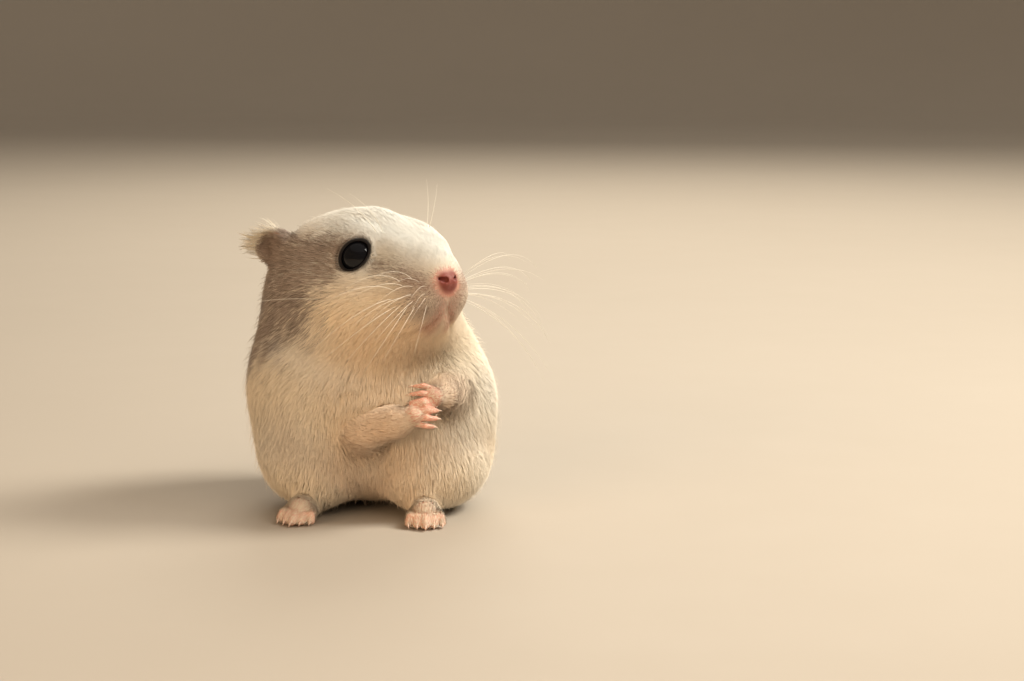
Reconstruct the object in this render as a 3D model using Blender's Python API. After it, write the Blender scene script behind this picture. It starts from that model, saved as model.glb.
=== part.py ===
"""Life-size still model of a dwarf hamster sitting up on its haunches, paws held
together at the chest and head turned to its left.

Row frame: metres, +Z up, the belly faces -Y, the hamster's left side is +X, and the
origin is the middle of the footprint on the floor.  Everything below is sized in
millimetres and turned into metres when the meshes are made.

The animal is described as one soft outline, out to the tips of the coat: each mass
(skull, cheek, belly, haunch, forearm, toe ...) is an ellipsoid or a tapered round bar,
and neighbouring masses melt into each other with a stated blend.  The outline is then
polygonised with Blender's OpenVDB and parted with thin cuts into the named pieces.
"""
import math

import bmesh
import bpy
import numpy as np
import openvdb

MM = 0.001
STAND_AT = (0.32, -1.82, 0.0)  # puts the origin in the middle of the footprint, on the floor

# ---------------------------------------------------------------- driving dimensions
GAP = 0.34                 # cut between neighbouring pieces
STEP_BODY = 0.80           # sampling step of the large pieces
STEP_SMALL = 0.36          # sampling step of ears, paws, feet, nose and tail

# head: carried at HEAD_AT, turned HEAD_YAW to the hamster's left and tipped up HEAD_PITCH
HEAD_AT = (-0.4, -3.0, 33.4)
HEAD_YAW, HEAD_PITCH, HEAD_ROLL = 45.0, 10.0, 0.0
NOSE_TIP = 17.0            # from the skull's centre to the tip of the nose
EYE_AT = (5.75, 6.4, 2.85)   # forward, sideways, up
EYE_R = 2.62

# trunk: the hips face a little to its right, the chest is twisted to its left
HIP_X, HIP_YAW, CHEST_YAW = 0.6, -7.0, 14.0
BELLY_HALF_WIDTH, BELLY_HALF_DEPTH, BELLY_HALF_HEIGHT = 18.3, 15.6, 14.4
RUMP_BACK = 20.6
SHOULDER_Z = 26.6

# limbs
THIGH_X, THIGH_R = 9.6, (10.4, 7.4, 7.9)  # radii forward, sideways, up
KNEE_X, KNEE_R = 6.8, (5.0, 5.4, 6.4)     # radii sideways, forward, up
FOOT_X, FOOT_LENGTH, FOOT_HALF_WIDTH = 7.6, 12.0, 2.2
EAR_LENGTH, EAR_WIDTH, EAR_THICKNESS = 5.6, 6.0, 1.1
TAIL_LENGTH = 5.0


# ---------------------------------------------------------------- soft shapes
def frame_axes(yaw, pitch, roll=0.0):
    """Forward, left and up of something that faces -Y, turned to its left and tipped up."""
    y, p, r = (math.radians(a) for a in (yaw, pitch, roll))
    f = np.array([math.sin(y) * math.cos(p), -math.cos(y) * math.cos(p), math.sin(p)])
    l = np.array([math.cos(y), math.sin(y), 0.0])
    u = np.cross(f, l)
    l = l * math.cos(r) + u * math.sin(r)
    return np.stack([f, l, np.cross(f, l)])


HEAD_AXES = frame_axes(HEAD_YAW, HEAD_PITCH, HEAD_ROLL)


def to_head(p):
    return (p - np.array(HEAD_AT)) @ HEAD_AXES.T


def from_head(q):
    return np.array(HEAD_AT) + np.asarray(q, float) @ HEAD_AXES


def turned(p, yaw):
    """Points as seen by a part of the body that is turned yaw degrees to its left."""
    c, s = math.cos(math.radians(yaw)), math.sin(math.radians(yaw))
    return np.stack([p[..., 0] * c + p[..., 1] * s, p[..., 1] * c - p[..., 0] * s, p[..., 2]], -1)


def to_hips(p):
    return turned(p - np.array((HIP_X, 0.0, 0.0)), HIP_YAW)


def ellipsoid(p, centre, radii, axes=None):
    q = p - np.asarray(centre, float)
    if axes is not None:
        q = q @ np.asarray(axes).T
    q = q / np.asarray(radii, float)
    k0 = np.sqrt((q * q).sum(-1)) + 1e-9
    q = q / np.asarray(radii, float)
    k1 = np.sqrt((q * q).sum(-1)) + 1e-9
    return k0 * (k0 - 1.0) / k1


def bar(p, a, b, ra, rb):
    """A round bar from a to b, with radius ra at a and rb at b."""
    a, b = np.asarray(a, float), np.asarray(b, float)
    ab = b - a
    t = np.clip(((p - a) @ ab) / (ab @ ab), 0.0, 1.0)
    d = p - a - t[..., None] * ab
    return np.sqrt((d * d).sum(-1)) - (ra + (rb - ra) * t)


def bars(p, points, radii):
    d = None
    for i in range(len(points) - 1):
        e = bar(p, points[i], points[i + 1], radii[i], radii[i + 1])
        d = e if d is None else np.minimum(d, e)
    return d


def melt(a, b, k):
    """Smooth union with a blend k wide."""
    h = np.clip(0.5 + 0.5 * (b - a) / k, 0.0, 1.0)
    return b + (a - b) * h - k * h * (1.0 - h)


def carve(a, b, k):
    """a with b taken out of it, the edge rounded by k."""
    return -melt(-a, b, k)


# ---------------------------------------------------------------- the animal's masses
def head_mass(p):
    q = to_head(p)
    s = q.copy()
    s[..., 1] = np.abs(s[..., 1])  # the head is the same on both sides
    d = ellipsoid(q, (-2.6, 0, 1.0), (12.0, 10.8, 9.5))
    d = melt(d, ellipsoid(s, (0.2, 5.0, -3.6), (9.6, 7.0, 7.0)), 4.0)
    d = melt(d, ellipsoid(q, (3.0, 0, -6.8), (8.6, 7.6, 5.5)), 3.5)
    d = melt(d, ellipsoid(q, (6.6, 0, -1.5), (8.4, 7.3, 6.4)), 4.0)
    d = melt(d, ellipsoid(q, (10.4, 0, -2.4), (5.2, 5.3, 4.6)), 3.5)
    d = melt(d, bar(q, (2.5, 0, 4.5), (12.3, 0, -0.1), 4.6, 3.0), 3.0)
    d = melt(d, ellipsoid(s, (4.8, 4.5, 3.4), (4.6, 3.5, 3.6)), 2.5)
    d = melt(d, ellipsoid(s, (9.0, 3.3, 2.9), (3.2, 2.5, 2.3)), 2.0)
    d = melt(d, ellipsoid(s, (12.0, 2.5, -3.6), (3.5, 3.0, 2.8)), 2.0)
    d = melt(d, ellipsoid(q, (8.8, 0, -6.5), (5.0, 4.2, 2.9)), 2.5)
    return d


def nose_mass(p):
    q = to_head(p)
    s = q.copy()
    s[..., 1] = np.abs(s[..., 1])
    d = ellipsoid(s, (NOSE_TIP - 1.5, 0.6, -1.7), (1.6, 1.25, 1.4))
    return melt(d, ellipsoid(q, (NOSE_TIP - 2.4, 0, -2.0), (2.1, 1.7, 1.9)), 0.8)


def eye_ball(p, side):
    c = from_head((EYE_AT[0], side * EYE_AT[1], EYE_AT[2]))
    d = p - c
    return np.sqrt((d * d).sum(-1)) - EYE_R


def ear_axes(side):
    """Along the ear, across it, and the way it opens: laid back against the neck."""
    along = np.array([-0.80, side * 0.37, 0.27])
    along /= np.linalg.norm(along)
    opens = np.array([0.16, side * 0.96, -0.05])
    opens -= along * (opens @ along)
    opens /= np.linalg.norm(opens)
    return np.stack([along, np.cross(opens, along), opens])


def ear_mass(p, side):
    q = to_head(p) - np.array([-6.0, side * 8.0, 4.7])
    q = q @ ear_axes(side).T
    leaf = ellipsoid(q, (EAR_LENGTH * 0.50, 0, 0), (EAR_LENGTH * 0.56, EAR_WIDTH * 0.5, 2.2))
    bowl = ellipsoid(q, (EAR_LENGTH * 0.56, 0, EAR_THICKNESS + 1.5), (EAR_LENGTH * 0.50, EAR_WIDTH * 0.44, 2.9))
    return melt(carve(leaf, bowl, 0.5), bar(q, (-2.2, 0, -0.6), (1.6, 0, -0.5), 2.4, 1.9), 1.4)


def trunk_mass(p):
    h, c = to_hips(p), turned(p, CHEST_YAW)
    d = ellipsoid(h, (-0.9, 0.8, BELLY_HALF_HEIGHT + 0.4), (BELLY_HALF_WIDTH, BELLY_HALF_DEPTH, BELLY_HALF_HEIGHT))
    d = melt(d, ellipsoid(h, (0, RUMP_BACK - 12.2, 10.8), (15.2, 12.0, 10.7)), 4.0)
    d = melt(d, ellipsoid(p, (-1.3, 6.4, 20.9), (13.6, 13.8, 13.2)), 4.0)
    d = melt(d, ellipsoid(c, (-1.6, 1.0, SHOULDER_Z - 6.2), (15.9, 13.8, 12.6)), 4.0)
    d = melt(d, ellipsoid(p, (-2.7, 2.8, 29.6), (10.8, 13.6, 9.8), frame_axes(22, 0)), 4.0)
    return d


def thigh_mass(p, side):
    h = to_hips(p)
    d = ellipsoid(h, (side * THIGH_X, -1.8, 7.9), THIGH_R, frame_axes(side * 8, 0))
    return melt(d, ellipsoid(h, (side * KNEE_X, -8.2, 7.0), KNEE_R), 3.0)


# elbow, wrist and knuckles of each foreleg: the paws are held together, a little to its left
ARM = {
    -1: [(-1.8, -13.0, 13.4), (3.9, -16.4, 15.0), (6.2, -17.6, 16.2)],
    1: [(10.6, -7.6, 19.0), (10.4, -13.4, 18.2), (9.2, -15.9, 18.6)],
}
TOES = {-1: (9.9, -18.2, 16.5), 1: (5.8, -18.0, 18.7)}


def arm_mass(p, side):
    elbow, wrist, _ = ARM[side]
    return bar(p, elbow, wrist, 3.3, 2.5)


def paw_fingers(side):
    """Knuckle, bend and end of each of the four fingers, which curl towards the chest."""
    _, wrist, knuckles = (np.array(v, float) for v in ARM[side])
    way = np.array(TOES[side], float) - knuckles
    reach = np.linalg.norm(way)
    way /= reach
    across = np.cross(way, (0.1, -0.95, 0.25))
    across /= np.linalg.norm(across)
    curl = np.cross(across, way)
    curl *= np.sign(curl[1])
    made = []
    for i in range(4):
        o = across * (i - 1.5)
        long = reach * (0.78, 1.0, 0.97, 0.80)[i]
        root = knuckles + o * 0.72 - way * 0.3
        bend = knuckles + o * 1.02 + way * long * 0.55 - curl * 0.25
        end = knuckles + o * 1.10 + way * long * 0.86 + curl * 0.75
        made.append((root, bend, end))
    return made


def paw_mass(p, side):
    _, wrist, knuckles = ARM[side]
    d = bar(p, wrist, knuckles, 1.75, 1.6)
    for finger in paw_fingers(side):
        d = melt(d, bars(p, finger, [0.72, 0.62, 0.52]), 0.25)
    return d


def foot_mass(p, side):
    turn = frame_axes(side * 10, 0)
    heel = np.array([side * FOOT_X, -6.6, 1.9])
    q = (to_hips(p) - heel) @ turn.T  # forward, left, up
    d = bar(q, (0, 0, 0.3), (FOOT_LENGTH * 0.55, 0, 0.0), 2.3, FOOT_HALF_WIDTH)
    for i in range(5):
        o = (i - 2) * 0.94
        root = (FOOT_LENGTH * 0.50, o * 0.8, -0.3)
        mid = (FOOT_LENGTH * 0.76 - abs(o) * 0.35, o * 1.12, -0.45)
        end = (FOOT_LENGTH - 1.6 - abs(o) * 0.75, o * 1.25, -1.15)
        d = melt(d, bars(q, [root, mid, end], [0.95, 0.85, 0.72]), 0.5)
    return d


def tail_mass(p):
    return bars(to_hips(p), [(0, 16.5, 5.8), (0, 19.0, 4.8), (0, 19.0 + TAIL_LENGTH * 0.6, 4.0)], [2.1, 1.7, 1.0])


PIECES = {
    "head": head_mass,
    "trunk": trunk_mass,
    "ear_left": lambda p: ear_mass(p, 1),
    "ear_right": lambda p: ear_mass(p, -1),
    "nose": nose_mass,
    "foreleg_left": lambda p: arm_mass(p, 1),
    "foreleg_right": lambda p: arm_mass(p, -1),
    "forepaw_left": lambda p: paw_mass(p, 1),
    "forepaw_right": lambda p: paw_mass(p, -1),
    "hind_leg_left": lambda p: thigh_mass(p, 1),
    "hind_leg_right": lambda p: thigh_mass(p, -1),
    "hind_foot_left": lambda p: foot_mass(p, 1),
    "hind_foot_right": lambda p: foot_mass(p, -1),
    "tail": tail_mass,
}
# how widely each piece melts into the outline
BLEND = {
    "head": 4.0, "trunk": 4.0, "ear_left": 0.9, "ear_right": 0.9, "nose": 0.5,
    "foreleg_left": 1.8, "foreleg_right": 1.8, "forepaw_left": 0.5, "forepaw_right": 0.5,
    "hind_leg_left": 3.0, "hind_leg_right": 3.0, "hind_foot_left": 0.7, "hind_foot_right": 0.7, "tail": 1.6,
}
SMALL = {"ear_left", "ear_right", "nose", "forepaw_left", "forepaw_right", "hind_foot_left", "hind_foot_right", "tail"}


# how far the small pieces reach into the masses around them
CLAIM = {"nose": 0.3, "forepaw_left": 0.5, "forepaw_right": 0.5, "ear_left": 0.4, "ear_right": 0.4, "tail": 0.6,
         "hind_foot_left": 0.3, "hind_foot_right": 0.3}


def share(name, fields):
    """Below zero in the part of the animal that belongs to the named piece."""
    own = fields[name] - CLAIM.get(name, 0.0)
    others = np.min([v - CLAIM.get(n, 0.0) for n, v in fields.items() if n != name], 0)
    return own - others


def outline(fields):
    d = None
    for name, value in fields.items():
        d = value if d is None else melt(d, value, BLEND[name])
    return d


# ---------------------------------------------------------------- polygons
def polygonise(low, high, step, field):
    """Closed mesh of field = 0 in the box, as points in mm and faces."""
    low = np.floor(np.asarray(low, float) / step) * step
    counts = np.ceil((np.asarray(high, float) - low) / step).astype(int) + 1
    axes = [low[i] + step * np.arange(counts[i]) for i in range(3)]
    grid_points = np.stack(np.meshgrid(*axes, indexing="ij"), -1)
    values = field(grid_points)
    grid = openvdb.FloatGrid()
    grid.background = 10.0
    grid.copyFromArray(np.clip(values, -10, 10).astype(np.float32))
    points, triangles, quads = grid.convertToPolygons(isovalue=0.0, adaptivity=0.0)
    return points * step + low, triangles, quads


def main_body(count, faces):
    """The faces of the largest connected body."""
    label = np.arange(count)
    corners = [np.array(f) for f in faces]
    first = np.repeat([f[0] for f in faces], [len(f) for f in faces])
    other = np.concatenate(corners)
    while True:
        low = np.minimum(label[first], label[other])
        before = label.copy()
        np.minimum.at(label, first, low)
        np.minimum.at(label, other, low)
        label = label[label]
        if (label == before).all():
            break
    owner = label[[f[0] for f in faces]]
    names, sizes = np.unique(owner, return_counts=True)
    keep = names[sizes.argmax()]
    return [f for f, o in zip(faces, owner) if o == keep]


def mesh_object(name, points, triangles, quads, material):
    faces = [tuple(map(int, f)) for f in quads] + [tuple(map(int, f)) for f in triangles]
    faces = main_body(len(points), faces)
    used, index = np.unique(np.concatenate(faces), return_inverse=True)
    points = np.asarray(points)[used]
    index = iter(index.tolist())
    faces = [tuple(next(index) for _ in f) for f in faces]
    mesh = bpy.data.meshes.new(name)
    mesh.from_pydata([tuple(v) for v in np.asarray(points, float) * MM], [], faces)
    mesh.validate()
    mesh.materials.append(material)
    mesh.shade_smooth()
    obj = bpy.data.objects.new(name, mesh)
    obj.location = [v * MM for v in STAND_AT]
    bpy.context.scene.collection.objects.link(obj)
    return obj


def material(name, colour, roughness):
    m = bpy.data.materials.new(name)
    m.use_nodes = True
    s = m.node_tree.nodes["Principled BSDF"]
    s.inputs["Base Color"].default_value = (*colour, 1.0)
    s.inputs["Roughness"].default_value = roughness
    s.inputs["Metallic"].default_value = 0.0
    return m


def thin(obj, ratio):
    m = obj.modifiers.new("thin", "DECIMATE")
    m.ratio = ratio
    return obj


def floor_cut(obj, cutter):
    m = obj.modifiers.new("floor", "BOOLEAN")
    m.operation = "DIFFERENCE"
    m.object = cutter


# ---------------------------------------------------------------- build
def main():
    for obj in list(bpy.data.objects):
        bpy.data.objects.remove(obj)

    coats = {
        "cream_coat": material("cream_coat", (0.80, 0.72, 0.60), 0.9),
        "grey_brown_coat": material("grey_brown_coat", (0.30, 0.25, 0.22), 0.9),
        "pink_skin": material("pink_skin", (0.72, 0.40, 0.34), 0.6),
        "nose_skin": material("nose_skin", (0.60, 0.20, 0.17), 0.45),
        "black_eye": material("black_eye", (0.01, 0.01, 0.012), 0.08),
    }
    finish = {
        "head": "cream_coat", "trunk": "cream_coat", "ear_left": "grey_brown_coat", "ear_right": "grey_brown_coat",
        "nose": "nose_skin", "foreleg_left": "cream_coat", "foreleg_right": "cream_coat",
        "forepaw_left": "pink_skin", "forepaw_right": "pink_skin", "hind_leg_left": "cream_coat",
        "hind_leg_right": "cream_coat", "hind_foot_left": "pink_skin", "hind_foot_right": "pink_skin", "tail": "cream_coat",
    }

    cutter_mesh = bpy.data.meshes.new("floor_cutter")
    s = 0.06
    corners = [(x, y, z) for x in (-s, s) for y in (-s, s) for z in (-0.02, 0.0)]
    cutter_mesh.from_pydata(corners, [], [(0, 1, 3, 2), (4, 6, 7, 5), (0, 4, 5, 1), (2, 3, 7, 6), (0, 2, 6, 4), (1, 5, 7, 3)])
    floor = bpy.data.objects.new("floor_cutter", cutter_mesh)
    floor.hide_render = True
    floor.display_type = "WIRE"
    bpy.context.scene.collection.objects.link(floor)

    def piece_field(name):
        def field(p):
            fields = {n: f(p) for n, f in PIECES.items()}
            whole = outline(fields)
            for side in (-1, 1):
                whole = np.maximum(whole, -(eye_ball(p, side) - GAP))
            cut = share(name, fields)
            steepness = np.sqrt(sum(g * g for g in np.gradient(cut, p[1, 0, 0, 0] - p[0, 0, 0, 0])))
            return np.maximum(whole, cut / np.maximum(steepness, 0.12) + GAP / 2)
        return field

    # a coarse look at where each piece lies gives its sampling box
    step = 2.0
    axes = [np.arange(-26, 26, step), np.arange(-28, 32, step), np.arange(-6, 52, step)]
    coarse = np.stack(np.meshgrid(*axes, indexing="ij"), -1).reshape(-1, 3)
    for name in PIECES:
        values = PIECES[name](coarse)
        near = coarse[values < 3.5]
        low, high = near.min(0) - 2.5, near.max(0) + 2.5
        small = name in SMALL
        points, triangles, quads = polygonise(low, high, STEP_SMALL if small else STEP_BODY, piece_field(name))
        obj = mesh_object(name, points, triangles, quads, coats[finish[name]])
        thin(obj, THIN.get(name, 0.3))
        if points[:, 2].min() < 0.3:
            floor_cut(obj, floor)

    for side, name in ((1, "eye_left"), (-1, "eye_right")):
        mesh = bpy.data.meshes.new(name)
        bm = bmesh.new()
        bmesh.ops.create_uvsphere(bm, u_segments=20, v_segments=12, radius=EYE_R * MM)
        bm.to_mesh(mesh)
        bm.free()
        mesh.materials.append(coats["black_eye"])
        mesh.shade_smooth()
        obj = bpy.data.objects.new(name, mesh)
        obj.location = (from_head((EYE_AT[0], side * EYE_AT[1], EYE_AT[2])) + STAND_AT) * MM
        bpy.context.scene.collection.objects.link(obj)


# share of the sampled faces that each piece keeps
THIN = {
    "head": 0.21, "trunk": 0.10, "ear_left": 0.15, "ear_right": 0.15, "nose": 0.33,
    "foreleg_left": 0.5, "foreleg_right": 0.5, "forepaw_left": 0.24, "forepaw_right": 0.24,
    "hind_leg_left": 0.18, "hind_leg_right": 0.18, "hind_foot_left": 0.15, "hind_foot_right": 0.15, "tail": 0.15,
}

main()
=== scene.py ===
"""The looks of a life-size dwarf hamster sitting up: one skin over all the flesh, eyes, claws,
whiskers, and a coat of fine solid tufts that follows the lie of the hair.

The animal's outline is written here as the same soft masses as its solids (ellipsoids and
tapered bars, in millimetres, that melt into each other).  The skin lies inside that outline
by the depth of the coat, and the tips of the coat reach it.
"""

import math
from concurrent.futures import ThreadPoolExecutor

import bpy
import numpy as np
import openvdb
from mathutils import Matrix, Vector
from mathutils.kdtree import KDTree

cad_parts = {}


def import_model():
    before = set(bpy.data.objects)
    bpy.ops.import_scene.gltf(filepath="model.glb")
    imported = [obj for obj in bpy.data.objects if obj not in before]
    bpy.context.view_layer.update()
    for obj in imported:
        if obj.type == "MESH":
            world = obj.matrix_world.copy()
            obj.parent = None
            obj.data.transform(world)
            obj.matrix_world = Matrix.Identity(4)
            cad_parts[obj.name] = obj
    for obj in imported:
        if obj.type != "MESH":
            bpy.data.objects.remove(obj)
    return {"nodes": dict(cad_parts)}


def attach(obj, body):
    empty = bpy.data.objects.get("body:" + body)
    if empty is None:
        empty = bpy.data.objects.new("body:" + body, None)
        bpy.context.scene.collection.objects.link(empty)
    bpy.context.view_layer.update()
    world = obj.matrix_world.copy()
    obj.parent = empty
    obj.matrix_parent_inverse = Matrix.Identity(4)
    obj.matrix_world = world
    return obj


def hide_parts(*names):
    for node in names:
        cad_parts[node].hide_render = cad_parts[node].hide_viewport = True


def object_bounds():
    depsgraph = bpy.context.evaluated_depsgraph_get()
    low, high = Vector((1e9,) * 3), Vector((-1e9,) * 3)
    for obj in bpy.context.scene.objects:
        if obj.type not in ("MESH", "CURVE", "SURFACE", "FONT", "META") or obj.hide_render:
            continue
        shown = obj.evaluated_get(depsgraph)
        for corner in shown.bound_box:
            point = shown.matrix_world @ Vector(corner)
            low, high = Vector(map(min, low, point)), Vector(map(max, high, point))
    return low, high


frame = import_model()
CAD_BOX = [list(map(float, v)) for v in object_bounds()]

MM = 0.001
STAND_AT = np.array((0.32, -1.82, 0.0))  # from the masses' own origin to the row frame's
SEED = 7

# ---------------------------------------------------------------- the animal's masses (mm)
HEAD_AT = (-0.4, -3.0, 33.4)
HEAD_YAW, HEAD_PITCH, HEAD_ROLL = 45.0, 10.0, 0.0
NOSE_TIP = 17.0
EYE_AT = (5.75, 6.4, 2.85)
EYE_R = 2.62
HIP_X, HIP_YAW, CHEST_YAW = 0.6, -7.0, 14.0
BELLY_HALF_WIDTH, BELLY_HALF_DEPTH, BELLY_HALF_HEIGHT = 18.3, 15.6, 14.4
RUMP_BACK = 20.6
SHOULDER_Z = 26.6
THIGH_X, THIGH_R = 9.6, (10.4, 7.4, 7.9)
KNEE_X, KNEE_R = 6.8, (5.0, 5.4, 6.4)
FOOT_X, FOOT_LENGTH, FOOT_HALF_WIDTH = 7.6, 12.0, 2.2
EAR_LENGTH, EAR_WIDTH, EAR_THICKNESS = 5.6, 6.0, 1.1
TAIL_LENGTH = 5.0


def frame_axes(yaw, pitch, roll=0.0):
    y, p, r = (math.radians(a) for a in (yaw, pitch, roll))
    f = np.array([math.sin(y) * math.cos(p), -math.cos(y) * math.cos(p), math.sin(p)])
    l = np.array([math.cos(y), math.sin(y), 0.0])
    u = np.cross(f, l)
    l = l * math.cos(r) + u * math.sin(r)
    return np.stack([f, l, np.cross(f, l)])


HEAD_AXES = frame_axes(HEAD_YAW, HEAD_PITCH, HEAD_ROLL)


def f32(v):
    return np.asarray(v, np.float32)


def to_head(p):
    return (p - f32(HEAD_AT)) @ f32(HEAD_AXES.T)


def from_head(q):
    return np.array(HEAD_AT) + np.asarray(q, float) @ HEAD_AXES


def head_way(v):
    """A direction given as forward, left, up of the head, in the row frame's axes."""
    return np.asarray(v, float) @ HEAD_AXES


def turned(p, yaw):
    c, s = np.cos(np.radians(yaw)), np.sin(np.radians(yaw))
    return np.stack([p[..., 0] * c + p[..., 1] * s, p[..., 1] * c - p[..., 0] * s, p[..., 2]], -1)


def to_hips(p):
    return turned(p - f32((HIP_X, 0.0, 0.0)), f32(HIP_YAW))


def ellipsoid(p, centre, radii, axes=None):
    q = p - f32(centre)
    if axes is not None:
        q = q @ f32(axes).T
    q = q / f32(radii)
    k0 = np.sqrt(np.einsum("...i,...i->...", q, q)) + f32(1e-6)
    q = q / f32(radii)
    k1 = np.sqrt(np.einsum("...i,...i->...", q, q)) + f32(1e-6)
    return k0 * (k0 - 1.0) / k1


def bar(p, a, b, ra, rb):
    a, b = f32(a), f32(b)
    ab = b - a
    t = np.clip(((p - a) @ ab) / (ab @ ab), 0.0, 1.0)
    d = p - a - t[..., None] * ab
    return np.sqrt(np.einsum("...i,...i->...", d, d)) - (ra + (rb - ra) * t)


def bars(p, points, radii):
    d = None
    for i in range(len(points) - 1):
        e = bar(p, points[i], points[i + 1], radii[i], radii[i + 1])
        d = e if d is None else np.minimum(d, e)
    return d


def melt(a, b, k):
    h = np.clip(0.5 + 0.5 * (b - a) / k, 0.0, 1.0)
    return b + (a - b) * h - k * h * (1.0 - h)


def carve(a, b, k):
    return -melt(-a, b, k)


def ramp(x, a, b):
    """0 at a, 1 at b, smooth between."""
    t = np.clip((x - a) / (b - a), 0.0, 1.0)
    return t * t * (3 - 2 * t)


def bump(x, width):
    return np.exp(-((x / width) ** 2))


def mirrored(q):
    s = q.copy()
    s[..., 1] = np.abs(s[..., 1])
    return s


def head_mass(p):
    q = to_head(p)
    s = mirrored(q)
    d = ellipsoid(q, (-2.6, 0, 1.0), (12.0, 10.8, 9.5))
    d = melt(d, ellipsoid(s, (0.2, 5.0, -3.6), (9.6, 7.0, 7.0)), 4.0)
    d = melt(d, ellipsoid(q, (3.0, 0, -6.8), (8.6, 7.6, 5.5)), 3.5)
    d = melt(d, ellipsoid(q, (6.6, 0, -1.5), (8.4, 7.3, 6.4)), 4.0)
    d = melt(d, ellipsoid(q, (10.4, 0, -2.4), (5.2, 5.3, 4.6)), 3.5)
    d = melt(d, bar(q, (2.5, 0, 4.5), (12.3, 0, -0.1), 4.6, 3.0), 3.0)
    d = melt(d, ellipsoid(s, (4.8, 4.5, 3.4), (4.6, 3.5, 3.6)), 2.5)
    d = melt(d, ellipsoid(s, (9.0, 3.3, 2.9), (3.2, 2.5, 2.3)), 2.0)
    d = melt(d, ellipsoid(s, (12.0, 2.5, -3.6), (3.5, 3.0, 2.8)), 2.0)
    d = melt(d, ellipsoid(q, (8.8, 0, -6.5), (5.0, 4.2, 2.9)), 2.5)
    return d


def nose_mass(p):
    q = to_head(p)
    d = ellipsoid(mirrored(q), (NOSE_TIP - 1.5, 0.6, -1.7), (1.6, 1.25, 1.4))
    return melt(d, ellipsoid(q, (NOSE_TIP - 2.4, 0, -2.0), (2.1, 1.7, 1.9)), 0.8)


def ear_axes(side):
    along = np.array([-0.80, side * 0.37, 0.27])
    along /= np.linalg.norm(along)
    opens = np.array([0.16, side * 0.96, -0.05])
    opens -= along * (opens @ along)
    opens /= np.linalg.norm(opens)
    return np.stack([along, np.cross(opens, along), opens])


def to_ear(p, side):
    return (to_head(p) - f32([-6.0, side * 8.0, 4.7])) @ f32(ear_axes(side).T)


def ear_mass(p, side):
    q = to_ear(p, side)
    leaf = ellipsoid(q, (EAR_LENGTH * 0.50, 0, 0), (EAR_LENGTH * 0.56, EAR_WIDTH * 0.5, 2.2))
    bowl = ellipsoid(q, (EAR_LENGTH * 0.56, 0, EAR_THICKNESS + 1.5), (EAR_LENGTH * 0.50, EAR_WIDTH * 0.44, 2.9))
    return melt(carve(leaf, bowl, 0.5), bar(q, (-2.2, 0, -0.6), (1.6, 0, -0.5), 2.4, 1.9), 1.4)


def trunk_mass(p):
    h, c = to_hips(p), turned(p, f32(CHEST_YAW))
    d = ellipsoid(h, (-0.9, 0.8, BELLY_HALF_HEIGHT + 0.4), (BELLY_HALF_WIDTH, BELLY_HALF_DEPTH, BELLY_HALF_HEIGHT))
    d = melt(d, ellipsoid(h, (0, RUMP_BACK - 12.2, 10.8), (15.2, 12.0, 10.7)), 4.0)
    d = melt(d, ellipsoid(p, (-1.3, 6.4, 20.9), (13.6, 13.8, 13.2)), 4.0)
    d = melt(d, ellipsoid(c, (-1.6, 1.0, SHOULDER_Z - 6.2), (15.9, 13.8, 12.6)), 4.0)
    d = melt(d, ellipsoid(p, (-2.7, 2.8, 29.6), (10.8, 13.6, 9.8), frame_axes(22, 0)), 4.0)
    return d


def thigh_mass(p, side):
    h = to_hips(p)
    d = ellipsoid(h, (side * THIGH_X, -1.8, 7.9), THIGH_R, frame_axes(side * 8, 0))
    return melt(d, ellipsoid(h, (side * KNEE_X, -8.2, 7.0), KNEE_R), 3.0)


ARM = {
    -1: [(-1.8, -13.0, 13.4), (3.9, -16.4, 15.0), (6.2, -17.6, 16.2)],
    1: [(10.6, -7.6, 19.0), (10.4, -13.4, 18.2), (9.2, -15.9, 18.6)],
}
TOES = {-1: (9.9, -18.2, 16.5), 1: (5.8, -18.0, 18.7)}


def arm_mass(p, side):
    elbow, wrist, _ = ARM[side]
    return bar(p, elbow, wrist, 3.3, 2.5)


def paw_fingers(side):
    """Knuckle, bend and end of each of the four fingers, which curl towards the chest."""
    _, wrist, knuckles = (np.array(v, float) for v in ARM[side])
    way = np.array(TOES[side], float) - knuckles
    reach = np.linalg.norm(way)
    way /= reach
    across = np.cross(way, (0.1, -0.95, 0.25))
    across /= np.linalg.norm(across)
    curl = np.cross(across, way)
    curl *= np.sign(curl[1])
    made = []
    for i in range(4):
        o = across * (i - 1.5)
        long = reach * (0.78, 1.0, 0.97, 0.80)[i]
        root = knuckles + o * 0.72 - way * 0.3
        bend = knuckles + o * 1.02 + way * long * 0.55 - curl * 0.25
        end = knuckles + o * 1.10 + way * long * 0.86 + curl * 0.75
        made.append((root, bend, end))
    return made


def paw_mass(p, side):
    _, wrist, knuckles = ARM[side]
    d = bar(p, wrist, knuckles, 1.75, 1.6)
    for finger in paw_fingers(side):
        d = melt(d, bars(p, finger, [0.72, 0.62, 0.52]), 0.25)
    return d


def to_foot(p, side):
    heel = f32([side * FOOT_X, -6.6, 1.9])
    return (to_hips(p) - heel) @ f32(frame_axes(side * 10, 0).T)


def foot_toes():
    """Root, middle and end of each of the five toes, in the foot's own axes."""
    made = []
    for i in range(5):
        o = (i - 2) * 0.94
        made.append(((FOOT_LENGTH * 0.50, o * 0.8, -0.3), (FOOT_LENGTH * 0.76 - abs(o) * 0.35, o * 1.12, -0.45),
                     (FOOT_LENGTH - 1.6 - abs(o) * 0.75, o * 1.25, -1.15)))
    return made


def foot_mass(p, side):
    q = to_foot(p, side)
    d = bar(q, (0, 0, 0.3), (FOOT_LENGTH * 0.55, 0, 0.0), 2.3, FOOT_HALF_WIDTH)
    for toe in foot_toes():
        d = melt(d, bars(q, toe, [0.95, 0.85, 0.72]), 0.5)
    return d


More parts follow.
